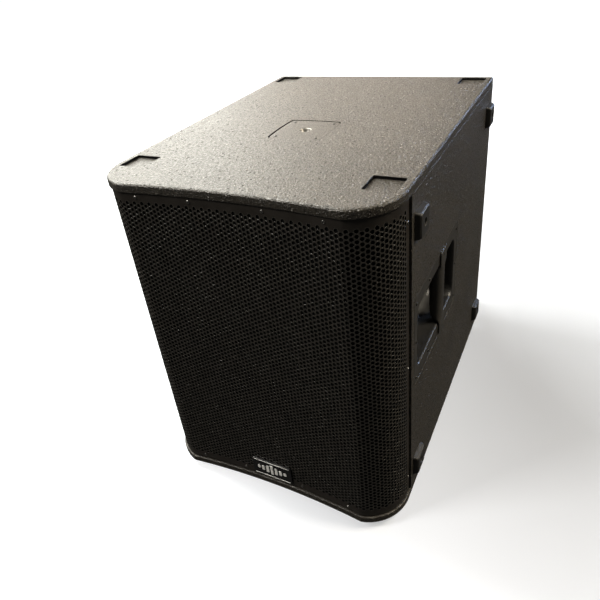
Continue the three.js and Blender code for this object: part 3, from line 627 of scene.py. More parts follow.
def plan_line(inset, end_y, steps=28):
    """From the left flank round the front to the right one, set in from the box outline."""
    front, corner = Vector((0, HOLLOW - FRONT_R)), Vector((HALF_W - CORNER_R, CORNER_Y))
    crease = circles_meet(front, FRONT_R + inset, corner, CORNER_R - inset)
    front_angle = math.atan2(crease.y - front.y, crease.x)
    corner_angle = math.atan2(crease.y - corner.y, crease.x - corner.x)
    right = []
    for i in range(steps):
        angle = math.pi / 2 + (front_angle - math.pi / 2) * i / steps
        right.append(front + (FRONT_R + inset) * direction(angle))
    for i in range(steps + 1):
        angle = corner_angle * (1 - i / steps)
        right.append(corner + (CORNER_R - inset) * direction(angle))
    if end_y > CORNER_Y:
        right.append(Vector((HALF_W - inset, end_y)))
    left = [Vector((-p.x, p.y)) for p in reversed(right[1:])]
    return left + right


# ---- Box panels.

def lid_outline():
    """The plan line, closed across the back with small rear corners."""
    line = [tuple(p) for p in plan_line(0, CORNER_Y)]
    radius, flank = 3, (150, 250, 350, 450, 550, 640)
    half = [(HALF_W, y) for y in flank]
    for i in range(5):
        angle = i / 4 * math.pi / 2
        half.append((HALF_W - radius + radius * math.cos(angle), DEPTH - radius + radius * math.sin(angle)))
    return line + half + [(-x, y) for x, y in reversed(half)]


def pole_outline(size, steps=10):
    """A square whose sides bow out a little."""
    edge = size / 2
    half, bow = edge - 9, edge + 4
    points = []
    for quarter in range(4):
        for a, b, c in (((half, edge), (0, bow), (-half, edge)), ((-half, edge), (-edge, edge), (-edge, half))):
            for i in range(steps):
                t = i / steps
                u, v = ((1 - t) ** 2 * a[k] + 2 * t * (1 - t) * b[k] + t * t * c[k] for k in (0, 1))
                for _ in range(quarter):
                    u, v = -v, u
                points.append((u, v))
    return points


def moved(outline, u, v):
    return [(p[0] + u, p[1] + v) for p in outline]


def add_panels():
    outline = lid_outline()
    over_grille = [1.0 if p[1] < SIDE_FRONT_Y - 2 else 0.12 for p in outline]
    pockets = [(rounded(POCKET_SIZE, POCKET_SIZE, 2.5, x, y), HEIGHT - POCKET_DEPTH, 0.8)
               for x in (-POCKET_X, POCKET_X) for y in POCKET_Y]
    # The plate sits against the recess's front and right, which leaves a gap at its back and left; the recess's
    # walls are painted near-black, painted shade, so the gap shows as a dark line.
    recess = (moved(pole_outline(POLE_SIZE + 4.4), -1.9, POLE_Y + 1.9), HEIGHT - POLE_T - GAP, 0.2,
              circle(16, 40, 0, POLE_Y))
    top = Solid("top")
    # The walls of the stacking pockets and the pole recess are in the near-black inside paint: painted shade.
    slab(top, outline, HEIGHT, HEIGHT - LID_T, ARRIS, 2.5, pockets + [recess], over_grille, shaded_wall_paint=1)
    piece("top_board", top, ("textured_paint", "grille_inside"), "top_panel", sharp=15)

    bottom = Solid("under")
    flipped = [(p[0], -p[1]) for p in reversed(outline)]
    slab(bottom, flipped, 0, -LID_T, ARRIS, 2.5, (), list(reversed(over_grille)))
    piece("bottom_board", bottom, "textured_paint", "bottom_panel", sharp=15)

    between_lids = HEIGHT - 2 * LID_T
    for name, sign in (("right", 1), ("left", -1)):
        side = Solid(name)
        board = rounded(DEPTH - SIDE_FRONT_Y, between_lids, 0.4, sign * (DEPTH + SIDE_FRONT_Y) / 2, HEIGHT / 2, 2)
        rebate = rounded(HANDLE_W + 1, HANDLE_H + 1, 12.5, sign * HANDLE_Y, HANDLE_Z)
        opening = rounded(*HANDLE_OPENING, sign * HANDLE_Y, HANDLE_Z)
        slab(side, board, HALF_W, HALF_W - WALL_T, 0.4, 0.4, [(rebate, HALF_W - HANDLE_T - GAP, 0.5, opening)])
        piece(name + "_side_board", side, "textured_paint", name + "_side_panel")

    rear = Solid("rear")
    slab(rear, rounded(2 * (HALF_W - WALL_T) - 2 * GAP, between_lids - 2 * GAP, 0.8, 0, HEIGHT / 2, 2), DEPTH,
         DEPTH - WALL_T, 0.8, 0.4, [(rounded(*AMP_OPENING, 0, AMP_Z), None, 0.5)])
    piece("back_board", rear, "textured_paint", "back_panel")

    baffle = Solid("front")
    openings = [(circle(WOOFER_HOLE_R, 96, 0, WOOFER_Z), None, 0.5)]
    openings += [(circle(PORT_HOLE_R, 64, x, PORT_Z), None, 0.5) for x in (-PORT_X, PORT_X)]
    slab(baffle, rounded(BAFFLE_W, between_lids - 2 * GAP, 0.8, 0, HEIGHT / 2, 2), -BAFFLE_FRONT, -BAFFLE_BACK,
         0.5, 0.5, openings)
    piece("baffle_board", baffle, "textured_paint", "front_baffle")


# ---- Grille.

class Bend:
    """The grille's outer plan line by arc length from the middle, with its folds eased."""

    def __init__(self):
        step, ease = 1.0, 4
        line = plan_line(GRILLE_INSET, GRILLE_END_Y, 200)
        even = [line[0]]
        for a, b in zip(line, line[1:]):
            length = (b - a).length
            for i in range(1, max(2, int(length / step) + 1)):
                even.append(a.lerp(b, i / max(1, int(length / step))))
        smooth = []
        for i in range(len(even)):
            reach = min(ease, i, len(even) - 1 - i)
            near = even[i - reach:i + reach + 1]
            smooth.append(sum(near, Vector((0, 0))) / len(near))
        self.points, self.at = smooth, [0.0]
        for a, b in zip(smooth, smooth[1:]):
            self.at.append(self.at[-1] + (b - a).length)
        self.half = self.at[-1] / 2
        self.at = [s - self.half for s in self.at]

    def place(self, s, z, depth):
        """A point at arc length s and height z, that far behind the outer face."""
        low, high = 0, len(self.at) - 1
        while high - low > 1:
            middle = (low + high) // 2
            low, high = (middle, high) if self.at[middle] <= s else (low, middle)
        a, b = self.points[low], self.points[high]
        share = (s - self.at[low]) / max(1e-9, self.at[high] - self.at[low])
        along = (self.points[min(high + 2, len(self.points) - 1)] - self.points[max(low - 2, 0)]).normalized()
        here = a.lerp(b, share) + Vector((-along.y, along.x)) * depth
        return Vector((here.x, here.y, z))


def grille_sites():
    """Lattice cells of the perforated field: column and half-row numbers, True where there is a hole."""
    columns = int(HOLES_END / HOLE_COLUMN)
    sites = {}
    for column in range(-columns, columns + 1):
        odd = column % 2
        for row in range(HOLE_ROWS + 1 - odd):
            s, z = column * HOLE_COLUMN, HOLES_LOW + (row + odd / 2) * HOLE_PITCH
            behind_badge = abs(s) < BADGE_W / 2 - 2 and abs(z - BADGE_Z) < BADGE_H / 2 - 2
            sites[column, 2 * row + odd] = not behind_badge
    return sites


# The corners of a lattice cell, in thirds of a column and half-rows from its middle, and the neighbour that
# lies across the edge from each corner to the next.
CELL_CORNERS = ((2, 0), (1, 1), (-1, 1), (-2, 0), (-1, -1), (1, -1))
CELL_NEIGHBOURS = ((1, 1), (0, 2), (-1, 1), (-1, -1), (0, -2), (1, -1))


def add_grille():
    bend, sites = Bend(), grille_sites()
    corners, solid = {}, Solid()
    sides = 8
    bore = circle(HOLE_R, sides, start=math.pi / sides)

    def pair(s, z):
        """The same point on the sheet's outer and inner face."""
        start = len(solid.points)
        solid.points += [bend.place(s, z, 0), bend.place(s, z, SHEET_T)]
        return start

    def corner(i, j):
        if (i, j) not in corners:
            corners[i, j] = pair(i * HOLE_COLUMN / 3, HOLES_LOW + j * HOLE_PITCH / 2)
        return corners[i, j]

    # Each bore corner is tied to the cell corner nearest to it in angle.
    nearest = []
    for k in range(sides):
        angle = math.atan2(bore[k][1], bore[k][0]) % (2 * math.pi)
        nearest.append(round(angle / (math.pi / 3)) % 6)
    for (column, row), open_here in sorted(sites.items()):
        cell = [corner(3 * column + di, row + dj) for di, dj in CELL_CORNERS]
        if not open_here:
            solid.face(cell)
            solid.face([c + 1 for c in cell])
            continue
        s, z = column * HOLE_COLUMN, HOLES_LOW + row * HOLE_PITCH / 2
        ring = [pair(s + u, z + v) for u, v in bore]
        for k in range(sides):
            a, b = ring[k], ring[(k + 1) % sides]
            near, far = nearest[k], nearest[(k + 1) % sides]
            rim_corners = [cell[near]] if near == far else [cell[near], cell[far]]
            # Round each hole the web takes the web paint; the hole's wall and the sheet's back there take the
            # near-black inside paint, painted shade in the holes.
            solid.face([a, *rim_corners, b], paint=1)
            solid.face([v + 1 for v in (a, *rim_corners, b)], paint=2)
            solid.face((a, b, b + 1, a + 1), paint=2)

    # The plain margin between the perforated field and the sheet's edge.
    margin, flat = [], {}

    def margin_point(s, z, index=None):
        margin.append((s, z, pair(s, z) if index is None else index))
        return len(margin) - 1

    end, across, up = bend.half, 170, 140
    rise = GRILLE_HIGH - GRILLE_LOW
    loop = [margin_point(-end + 2 * end * i / across, GRILLE_LOW) for i in range(across)]
    loop += [margin_point(end, GRILLE_LOW + rise * i / up) for i in range(up)]
    loop += [margin_point(end - 2 * end * i / across, GRILLE_HIGH) for i in range(across)]
    loop += [margin_point(-end, GRILLE_HIGH - rise * i / up) for i in range(up)]
    edges = [(loop[i], loop[(i + 1) % len(loop)]) for i in range(len(loop))]
    for a, b in edges:
        i, j = margin[a][2], margin[b][2]
        solid.face((i, j, j + 1, i + 1))
    for column, row in sites:
        for k, (di, dj) in enumerate(CELL_NEIGHBOURS):
            if (column + di, row + dj) in sites:
                continue
            ends = []
            for ci, cj in (CELL_CORNERS[k], CELL_CORNERS[(k + 1) % 6]):
                key = (3 * column + ci, row + cj)
                if key not in flat:
                    flat[key] = margin_point(key[0] * HOLE_COLUMN / 3, HOLES_LOW + key[1] * HOLE_PITCH / 2,
                                             corners[key])
                ends.append(flat[key])
            edges.append(tuple(ends))
    field_end = max(i for i, _ in flat) * HOLE_COLUMN / 3
    for i in range(1, across):
        for z in (GRILLE_HIGH - 5, GRILLE_HIGH - 10, GRILLE_LOW + 6):
            margin_point(-end + 2 * end * i / across, z)
    for i in range(1, up):
        for s in ((end + field_end) / 2, (end + 2 * field_end) / 3 + 1, (2 * end + field_end) / 3 + 1):
            for side in (1, -1):
                margin_point(side * s, GRILLE_LOW + rise * i / up)
    result = geometry.delaunay_2d_cdt([Vector(m[:2]) for m in margin], edges, [], 1, 1e-5)
    points, triangles, origins = result[0], result[2], result[3]
    index = [margin[o[0]][2] if o else pair(*points[n]) for n, o in enumerate(origins)]
    for triangle in triangles:
        s, z = (sum(points[n][k] for n in triangle) / 3 for k in (0, 1))
        if not inside_field(s, z, sites):
            solid.face([index[n] for n in triangle])
            solid.face([index[n] + 1 for n in triangle])
    piece("perforated_grille", solid, ("grille_steel", "grille_web", "grille_inside"), "grille", sharp=40)


def inside_field(s, z, sites):
    """True where the nearest lattice cell belongs to the perforated field."""
    best, found = 1e9, None
    around = round(s / HOLE_COLUMN)
    for column in (around - 1, around, around + 1):
        odd = column % 2
        row = round((z - HOLES_LOW) / HOLE_PITCH - odd / 2)
        gap_s, gap_z = s - column * HOLE_COLUMN, z - HOLES_LOW - (row + odd / 2) * HOLE_PITCH
        if gap_s ** 2 + gap_z ** 2 < best:
            best, found = gap_s ** 2 + gap_z ** 2, (column, 2 * row + odd)
    return found in sites


def add_foam():
    """A sheet that lines the grille from one end to the other."""
    bend = Bend()
    half, steps = bend.half - FOAM_END, 90
    spread = [half * (2 * i / steps - 1) for i in range(steps + 1)]
    near, far = ([bend.place(at, 0, SHEET_T + 0.3 + deep) for at in spread] for deep in (0, FOAM_T))
    line = [(point.x, point.y) for point in near + far[::-1]]
    solid = Solid()
    levels = [LID_T + 4 + (HEIGHT - 2 * LID_T - 8) * i / 40 for i in range(41)]
    solid.loft([(line, z) for z in levels])
    piece("foam_sheet", solid, "grille_foam", "grille_foam")


def add_badge():
    """A black plate with a light pinstripe frame and a row of level bars."""
    out = -(HOLLOW + GRILLE_INSET - BADGE_T - 1)
    plate = Solid("front", (0, 0, BADGE_Z))
    slab(plate, rounded(BADGE_W, BADGE_H, 3), out, out - BADGE_T, 0.8, 0.2)
    face = out + 0.001
    lines = [(rounded(BADGE_W - 8, 1.7, 0.6, 0, v), 0.5) for v in (-BADGE_H / 2 + 3.4, BADGE_H / 2 - 3.4)]
    lines += [(rounded(6.6, tall, 2.2, (i - 3) * 9.8, 0), 0.7)
              for i, tall in enumerate((8, 13, 19, 25, 19, 13, 8))]
    # Each line and bar is domed, so that it glints from above.
    for outline, height in lines:
        domed = [(0, -0.6), (0, 0.15), (-0.17, 0.6), (-0.34, 0.85), (-0.52, 1.0)]
        plate.loft([(grown(outline, in_), face + up * height) for in_, up in domed], paint=1)
    piece("badge_face", plate, ("badge_black", "badge_line"), "badge_plate")


# ---- Screws. One mesh is shared by all screws of a kind.

def screw_mesh(name, radius, height, paint, recess=0.45):
    """A domed head with a cross recess, standing on z = 0 and pointing up."""
    built = bmesh.new()
    sides = 24
    turns = [2 * math.pi * i / sides for i in range(sides)]

    def ring(radii, z):
        return [built.verts.new((r * MM * math.cos(a), r * MM * math.sin(a), z * MM)) for r, a in zip(radii, turns)]

    profile = ((0.55, -3), (0.98, 0), (1, height * 0.25), (0.92, height * 0.6), (0.7, height * 0.9),
               (recess, height))
    rings = [ring([radius * share] * sides, z) for share, z in profile]
    lobes = [radius * recess * 0.85 * (0.72 + 0.28 * math.cos(6 * a)) for a in turns]
    rings += [ring(lobes, height), ring([r * 0.85 for r in lobes], height * 0.35)]
    for a, b in zip(rings, rings[1:]):
        for i in range(sides):
            built.faces.new((a[i], a[(i + 1) % sides], b[(i + 1) % sides], b[i]))
    built.faces.new(rings[-1])
    built.faces.new(list(reversed(rings[0])))
    mesh = bpy.data.meshes.new(name)
    finish_mesh(built, mesh, [PAINT[paint]], 40)
    return mesh


SCREWS = {kind: screw_mesh("screw_" + kind, *row) for kind, row in {
    "grille": (3.3, 1.5, "screw_bright"),
    "small": (2.9, 1.2, "screw_black"),
    "foot": (4.4, 2.2, "zinc_steel"),
    "bolt": (5.5, 3.2, "zinc_steel"),
    "tiny": (2.1, 0.9, "zinc_steel"),
}.items()}


def add_screw(name, kind, place, way, spin):
    """A screw whose head stands at a place in the box frame and points that way."""
    turn = Z.rotation_difference(way).to_matrix().to_4x4() @ Matrix.Rotation(spin, 4, "Z")
    made = linked(name, SCREWS[kind])
    made.matrix_world = Matrix.Translation(spot(*place)) @ turn
    made.modifiers.new("normals", "WEIGHTED_NORMAL").keep_sharp = True
    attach(made, "cabinet")


def add_grille_screws():
    bend = Bend()
    y, heights = GRILLE_SIDE_SCREW
    places = []
    for x in GRILLE_SCREW_X:
        for z in GRILLE_SCREW_Z:
            along = (bend.place(x + 2, z, 0) - bend.place(x - 2, z, 0)).normalized()
            places.append((x, z, Vector((along.y, -along.x, 0))))
    places += [(side * (bend.half - (GRILLE_END_Y - y)), z, X * side) for side in (-1, 1) for z in heights]
    for count, (s, z, way) in enumerate(places, 1):
        add_screw(f"screw_grille_{count:02d}", "grille", bend.place(s, z, 0.1), way, count)


# ---- Pole socket.

def add_pole_plate():
    plate, under, foot = Solid("top", (0, POLE_Y, 0)), HEIGHT - POLE_T, HEIGHT - 62
    outline, radius, sides = pole_outline(POLE_SIZE), 9.75, 40
    bore = circle(radius, sides)
    rings = [plate.ring(o, h) for o, h in rim(outline, HEIGHT, 0.3) + [(outline, under)]]
    plate.bands(rings)
    inner = [plate.ring(o, h) for o, h in rim(bore, HEIGHT, 2.2, outward=1) + [(bore, under)]]
    plate.bands(inner, paint=1)
    # The thread, as rings that swell and narrow down the socket.
    thread = [plate.ring(circle(radius - (0.7 if i % 2 else 0), sides), under - i) for i in range(55)]
    plate.bands([inner[-1]] + thread, paint=1)
    outer = [plate.ring(circle(15, sides), h) for h in (under, foot + 1, foot)]
    plate.bands(outer)
    plate.cap(thread[-1])
    plate.cap(outer[-1])
    plate.cap(rings[0], inner[0])
    plate.cap(rings[-1], outer[0])
    piece("pole_socket_plate", plate, ("plate_paint", "socket_thread"), "pole_plate")
    for i, (x, y) in enumerate(((-1, -1), (1, -1), (1, 1), (-1, 1))):
        place = (x * POLE_SCREW, POLE_Y + y * POLE_SCREW, HEIGHT + 0.05)
        add_screw(f"screw_pole_{i + 1}", "small", place, Z, i)


# ---- Handles.

def add_handle(name, sign):
    """A deep cup in one with its face plate, and the bar across its mouth."""
    cup = Solid(name)
    radius, plate_out = 3.2, HALF_W - 0.25

    def oblongs(rows, y):
        """Stages of the cup from (width, height, corner radius, height out of the face plate)."""
        return [(rounded(w, h, r, sign * y, HANDLE_Z, 8), plate_out + out) for w, h, r, out in rows]

    mouth = [(190, 80, 10, -52), (214, 104, 18, -51.4), (228, 118, 24, -48), (237, 126, 27, -42),
             (242, 131, 28, -33), (244, 132, 26, -12), (MOUTH_W - 2, MOUTH_H - 1, 20, -5)]
    for i in range(6):
        angle = i / 5 * math.pi / 2
        grow = radius * (1 - math.cos(angle))
        mouth.append((MOUTH_W + 2 * grow, MOUTH_H + 2 * grow, 19 + grow, radius * (math.sin(angle) - 1)))
    plate = [(HANDLE_W - in_, HANDLE_H - in_, corner, out) for in_, corner, out in
             ((12, 10, 0), (10.6, 10, 0.25), (3.4, 11, 0.25), (1.4, 11.4, -0.1), (0, 12, -0.9), (0, 12, -HANDLE_T))]
    plate += [(272, 158, 22, -HANDLE_T), (272, 158, 22, -44), (262, 148, 22, -54)]
    stages = oblongs(mouth, MOUTH_Y) + oblongs(plate, HANDLE_Y)
    # The faces inside the mouth are smooth and in the darker cup paint, painted shade in the cup; the plate round it
    # is grained.
    inside = len(mouth) - 1
    cup.loft(stages[:inside], paint=1, ends=(True, False))
    cup.loft(stages[inside - 1:], ends=(False, True))
    piece(name + "_cup", cup, ("moulded_black", "cup_black"), name + "_handle_cup", sharp=38)

    grip = Solid("top")
    half_h, half_m = HANDLE_H / 2 - 1.2, MOUTH_H / 2
    back = GRIP_PROUD - GRIP_DEPTH
    # Height from the middle, back and front from the side panel's face, and width.
    rows = [(half_h, 0.8, GRIP_PROUD - 1.4, GRIP_W - 6), (half_h - 0.8, 0.4, GRIP_PROUD - 0.5, GRIP_W - 3)]
    rows += [(up, low, GRIP_PROUD, GRIP_W - narrow) for up, low, narrow in (
        (half_h - 2.4, 0.3, 0), (half_h - 12, 0.3, 0), (half_m + 1.5, 0.3, 0), (half_m - 3, -2, 0),
        (half_m - 8, -14, 1), (half_m - 15, -19.5, 2), (half_m - 24, back + 0.2, 2), (half_m - 40, back, 2),
        (8, back, 2))]
    levels = []
    for up, low, high, width in [(-row[0], *row[1:]) for row in rows] + rows[::-1]:
        outline = superellipse((high - low) / 2, width / 2, 2.6 if high - low > 8 else 4.5)
        levels.append(([(sign * (HALF_W + u + (high + low) / 2), v + GRIP_Y) for u, v in outline], HANDLE_Z + up))
    grip.loft(levels)
    piece(name + "_bar", grip, "moulded_black", name + "_handle_grip", sharp=50)

    screws = [(HALF_W + 0.02, HANDLE_Y + dy, HANDLE_Z + dz) for dy in HANDLE_SCREW_Y
              for dz in (-HANDLE_SCREW_Z, 0, HANDLE_SCREW_Z) if dz or abs(dy) > 100]
    screws += [(HALF_W + GRIP_PROUD - 0.6, GRIP_Y, HANDLE_Z + up * (HANDLE_H / 2 - 12)) for up in (-1, 1)]
    for count, (x, y, z) in enumerate(screws, 1):
        add_screw(f"screw_{name}_{count:02d}", "small", (sign * x, y, z), X * sign, count)


def superellipse(half_u, half_v, power, steps=40):
    points = []
    for i in range(steps):
        angle = 2 * math.pi * i / steps
        c, s = math.cos(angle), math.sin(angle)
        points.append((half_u * math.copysign(abs(c) ** (2 / power), c),
                       half_v * math.copysign(abs(s) ** (2 / power), s)))
    return points


# ---- Feet.

def add_foot(name, face, centre, thick, stands_for):
    """A square rubber pad with drafted sides and a washer recess for its screw."""
    foot = Solid(face, centre)
    washer = thick * 0.45
    foot.loft([(rounded(size, size, radius, steps=8), out) for size, radius, out in (
        (8, 4, washer + 0.3), (12.4, 6.2, washer + 0.3), (13, 6.5, thick - 0.8), (14.2, 7.1, thick),
        (FOOT_SIZE - 8.6, 2.6, thick), (FOOT_SIZE - 7.6, 2.9, thick - 0.15), (FOOT_SIZE - 4.4, 3.4, thick - 2.4),
        (FOOT_SIZE - 3.8, 3.5, thick - 3), (FOOT_SIZE - 0.6, 3.6, 1.6), (FOOT_SIZE - 0.1, 3.6, 0.9),
        (FOOT_SIZE, 3.6, 0.3))])
    piece(name, foot, "rubber_black", stands_for, sharp=42)
    way = foot.axes[2]
    add_screw("screw_" + name, "foot", Vector(centre) + way * (washer + 0.4), way, centre[1])


def add_feet():
    for row, y in zip(("front", "rear"), FOOT_Y):
        for side, x in (("left", -POCKET_X), ("right", POCKET_X)):
            add_foot(f"pad_under_{row}_{side}", "under", (x, y, 0), FOOT_UNDER_T + 0.3,
                     f"bottom_foot_{row}_{side}")
        for level, z in SIDE_FOOT_Z.items():
            add_foot(f"pad_side_{row}_{level}", "right", (HALF_W, y, z), FOOT_SIDE_T + 0.3,
                     f"side_foot_{row}_{level}")


# ---- Amplifier module, on the back.

def on_panel(place):
    """The middle of a control, in the box frame at y = 0."""
    return Vector((place[0], 0, AMP_Z + place[1]))


def frame_line(solid, height, v):
    """A printed outline, standing just proud of the panel."""
    width, radius, line = 262, 9, 0.6
    inner = rounded(width - 2 * line, height - 2 * line, radius - line, 0, v)
    slab(solid, rounded(width, height, radius, 0, v), PANEL_FACE + PRINT_PROUD, PANEL_FACE - 0.3, 0.03, 0.03,
         [(inner, None, 0.03)], paint=1)


def add_amp_panel():
    panel = Solid("rear")
    spots = {key: (-x, AMP_Z + z) for key, (x, z) in
             {"knob": KNOB, "button": BUTTON, "rocker": ROCKER, "in": XLR_IN, "out": XLR_OUT, "inlet": INLET}.items()}
    hole = {"button": circle(4.5, 24, *spots["button"]), "rocker": rounded(13, 20, 0.8, *spots["rocker"])}
    holes = [(circle(12.3, 40, *spots[key]), None, 0.3) for key in ("in", "out")]
    holes += [(rounded(29, 22.5, 2, *spots["inlet"]), None, 0.3), (circle(3.4, 24, *spots["knob"]), None, 0.2),
              (hole["button"], None, 0.3), (hole["rocker"], None, 0.2)]
    slab(panel, rounded(AMP_W, AMP_H, 8, 0, AMP_Z), PANEL_FACE, PANEL_FACE - 3, 0.7, 0.2, holes)
    slab(panel, rounded(18, 25, 2.4, *spots["rocker"]), PANEL_FACE + 2, PANEL_FACE - 9, 0.9, 0.2,
         [(hole["rocker"], None, 0.5)])
    slab(panel, circle(6.4, 32, *spots["button"]), PANEL_FACE + 0.8, PANEL_FACE - 1, 0.5, 0.1,
         [(hole["button"], None, 0.2)])
    # Printed outlines round the connectors and the controls, and a scale round the knob.
    frame_line(panel, 76, AMP_Z - 150)
    frame_line(panel, 62, AMP_Z - 62)
    middle = Vector(spots["knob"])
    for i in range(11):
        angle = math.radians(KNOB_TURN + 90 - KNOB_TURN / 5 * i)
        near, far = 15.5, 19.5 if i % 5 == 0 else 18.2
        along, aside = direction(angle), direction(angle + math.pi / 2) * 0.45
        tick = [tuple(middle + along * r + aside * s) for r, s in ((near, -1), (far, -1), (far, 1), (near, 1))]
        panel.loft([(tick, PANEL_FACE - 0.3), (tick, PANEL_FACE + PRINT_PROUD)], paint=1)
    piece("amplifier_panel", panel, ("panel_black", "print_white"), "amp_panel")
    for i, (u, v) in enumerate((u, v) for u in (-1, 1) for v in (-1, 0, 1)):
        place = (u * (AMP_W / 2 - 6), PANEL_FACE + 0.02, AMP_Z + v * (AMP_H / 2 - 6))
        add_screw(f"screw_panel_{i + 1}", "small", place, Y, i)


def add_heat_sink():
    """Upright fins with drafted sides and round tips, filleted into the base."""
    face, low = PANEL_FACE + GAP, AMP_Z + 10
    half, base, tip = SINK_W / 2, SINK_BASE, SINK_OUT
    side = [(2.0, base), (1.65, base + 0.5), (1.5, base + 1.4), (1.15, tip - 0.9), (0.85, tip - 0.3), (0.4, tip)]
    section = [(-half, face), (half, face)]
    pitch = (SINK_W - 4) / (FINS - 1)
    for i in reversed(range(FINS)):
        x = -half + 2 + i * pitch
        right, left = side[1:] if i == FINS - 1 else side, side[1:] if i == 0 else side
        if i == FINS - 1:
            section.append((half, face + base))
        section += [(x + u, face + out) for u, out in right]
        section += [(x - u, face + out) for u, out in reversed(left)]
    section.append((-half, face + base))
    sink = Solid("top")
    sink.loft([(grown(section, -0.35), low), (section, low + 0.35), (section, low + SINK_H - 0.35),
               (grown(section, -0.35), low + SINK_H)])
    piece("finned_heat_sink", sink, "heat_sink_black", "amp_heat_sink", sharp=28)


def add_xlr(name, place, node, contacts):
    """A flanged chassis connector with a round socket, and its two screws. Its contacts are metal pins, or
    flat near-black discs that are painted shade standing for the contact holes."""
    part = Solid("rear", on_panel(place))
    face, back, radius, sides = PANEL_FACE + GAP + 2.5, 12, 9.5, 40
    slab(part, rounded(26, 31, 3), face, face - 2.5, 0.6, 0.1, [(circle(radius, sides), None, 0.9)])
    part.turn([(radius, face - 2.4), (radius, face - back), (0, face - back), (0, face - 26), (11.9, face - 26),
               (11.9, face - 2.4)], sides)
    ring = circle(radius + 0.02, sides)
    part.loft([(ring, face - back - 0.2), (ring, face - 11.2), (circle(8.9, sides), face - 11)])
    # The key groove's ridge inside the socket.
    ridge = rounded(2.4, 1.6, 0.5, 0, 8.9)
    part.loft([(ridge, face - 11.5), (ridge, face - 1.5), (rounded(1.8, 1.0, 0.4, 0, 8.9), face - 1.2)])
    # Unless the contacts are metal pins, they are thin discs on the insert's face, dark as painted shade for holes.
    profile = ((1.7, 11.2), (1.7, 10.8))
    if contacts == "contact_metal":
        profile = ((1.2, back), (1.2, 1.6), (0.9, 1.15), (0.4, 1))
    for i in range(3):
        angle = math.pi / 2 + i * 2 * math.pi / 3
        u, v = -4.6 * math.cos(angle), 4.6 * math.sin(angle)
        part.loft([(circle(r, 16, u, v), face - deep) for r, deep in profile], paint=1)
    piece(name, part, ("black_metal", contacts), node)
    add_panel_screws(name, place, 9.5, 12, face)


def add_panel_screws(name, place, u, v, face):
    """Two small screws either side of a connector, its middle's u and v away."""
    centre = on_panel(place)
    for i, way in enumerate((-1, 1)):
        add_screw(f"screw_{name}_{i + 1}", "tiny", (centre.x + way * u, face + 0.02, centre.z + way * v), Y, i)


def add_inlet():
    part = Solid("rear", on_panel(INLET))
    face = PANEL_FACE + GAP
    mouth, body = rounded(24.4, 16.8, 3), rounded(28, 21.5, 2)
    slab(part, rounded(50, 28, 4), face + 3, face, 0.8, 0.1, [(mouth, None, 0.9)])
    part.loft([(mouth, face + 0.2), (mouth, face - 13), (grown(mouth, -1), face - 14)], ends=(False, True))
    part.loft([(body, face + 0.1), (body, face - 23), (rounded(26, 19.5, 1.6), face - 24)], ends=(False, True))
    for u, v in ((-7, 1.2), (0, -2.3), (7, 1.2)):
        blade = rounded(2, 4, 0.3, u, v)
        part.loft([(blade, face - 14.5), (blade, face - 0.8), (rounded(1.3, 3.3, 0.3, u, v), face - 0.2)], paint=1)
    piece("mains_socket", part, ("moulded_black", "zinc_steel"), "mains_inlet")
    add_panel_screws("mains", INLET, 20, 0, face + 3)


def add_controls():
    # The rocker's face is a shallow V with its upper half raised.
    centre = on_panel(ROCKER) + Y * (PANEL_FACE + 1)
    rocker, mark = Solid("right", centre), Solid("rear", centre)
    face = [(2.2, -9), (2.75, -4), (3.0, 0), (3.7, 4), (4.75, 7.6), (4.95, 8.1), (4.5, 8.5), (2.5, 8.7)]
    section = [(-3, 9), (-3, -9)] + face
    rocker.loft([(grown(section, -0.5), -6), (section, -5.5), (section, 5.5), (grown(section, -0.5), 6)])
    line = rounded(0.9, 4.6, 0.4, 0, 4.6)
    mark.loft([(line, 2.6), (line, 4.3)])
    rocker.add(mark, paint=1)
    piece("rocker_cap", rocker, ("moulded_black", "print_white"), "power_switch", "power_rocker")

    knob = Solid("rear", on_panel(KNOB) + Y * (PANEL_FACE + 1))
    sides, flutes = 96, 24

    def fluted(radius, deep):
        """A circle with flutes of that depth cut into it."""
        turns = [2 * math.pi * i / sides for i in range(sides)]
        radii = [radius - deep * (0.5 + 0.5 * math.cos(flutes * a)) ** 3 for a in turns]
        return [(r * math.cos(a), r * math.sin(a)) for r, a in zip(radii, turns)]

    knob.loft([(fluted(radius, deep), out) for radius, deep, out in (
        (11.6, 0, 0), (12.3, 0, 0.4), (12.5, 0, 1.4), (12.1, 0, 2.1), (11.9, 0.1, 2.5), (11.8, 0.9, 3.4),
        (10.9, 0.9, 12.6), (10.6, 0.4, 13.8), (10.1, 0, 14.5), (9.5, 0, 14.9), (9.0, 0, 15), (8.6, 0, 14.7),
        (8.0, 0, 14.6))])
    knob.turn([(3, -17), (3, 1), (0, 1), (0, -17)], 20)
    line = rounded(1.4, 8.4, 0.6, 0, 6.0)
    knob.loft([(line, 13), (line, 14.85), (rounded(1.2, 8.2, 0.5, 0, 6.0), 14.95)], paint=1)
    piece("level_knob", knob, ("moulded_black", "print_white"), "gain_knob", "gain_control", sharp=24)

    button = Solid("rear", on_panel(BUTTON) + Y * (PANEL_FACE + 4))
    button.turn([(0, -16), (4, -16), (4, -0.8), (3.85, -0.3), (3.5, 0), (2.9, -0.1), (1.6, -0.45), (0, -0.6)], 32)
    piece("push_cap", button, "moulded_black", "polarity_button", "polarity_push", sharp=26)


# ---- Casters. Each piece is placed about its swivel axis, which stands out of the back.

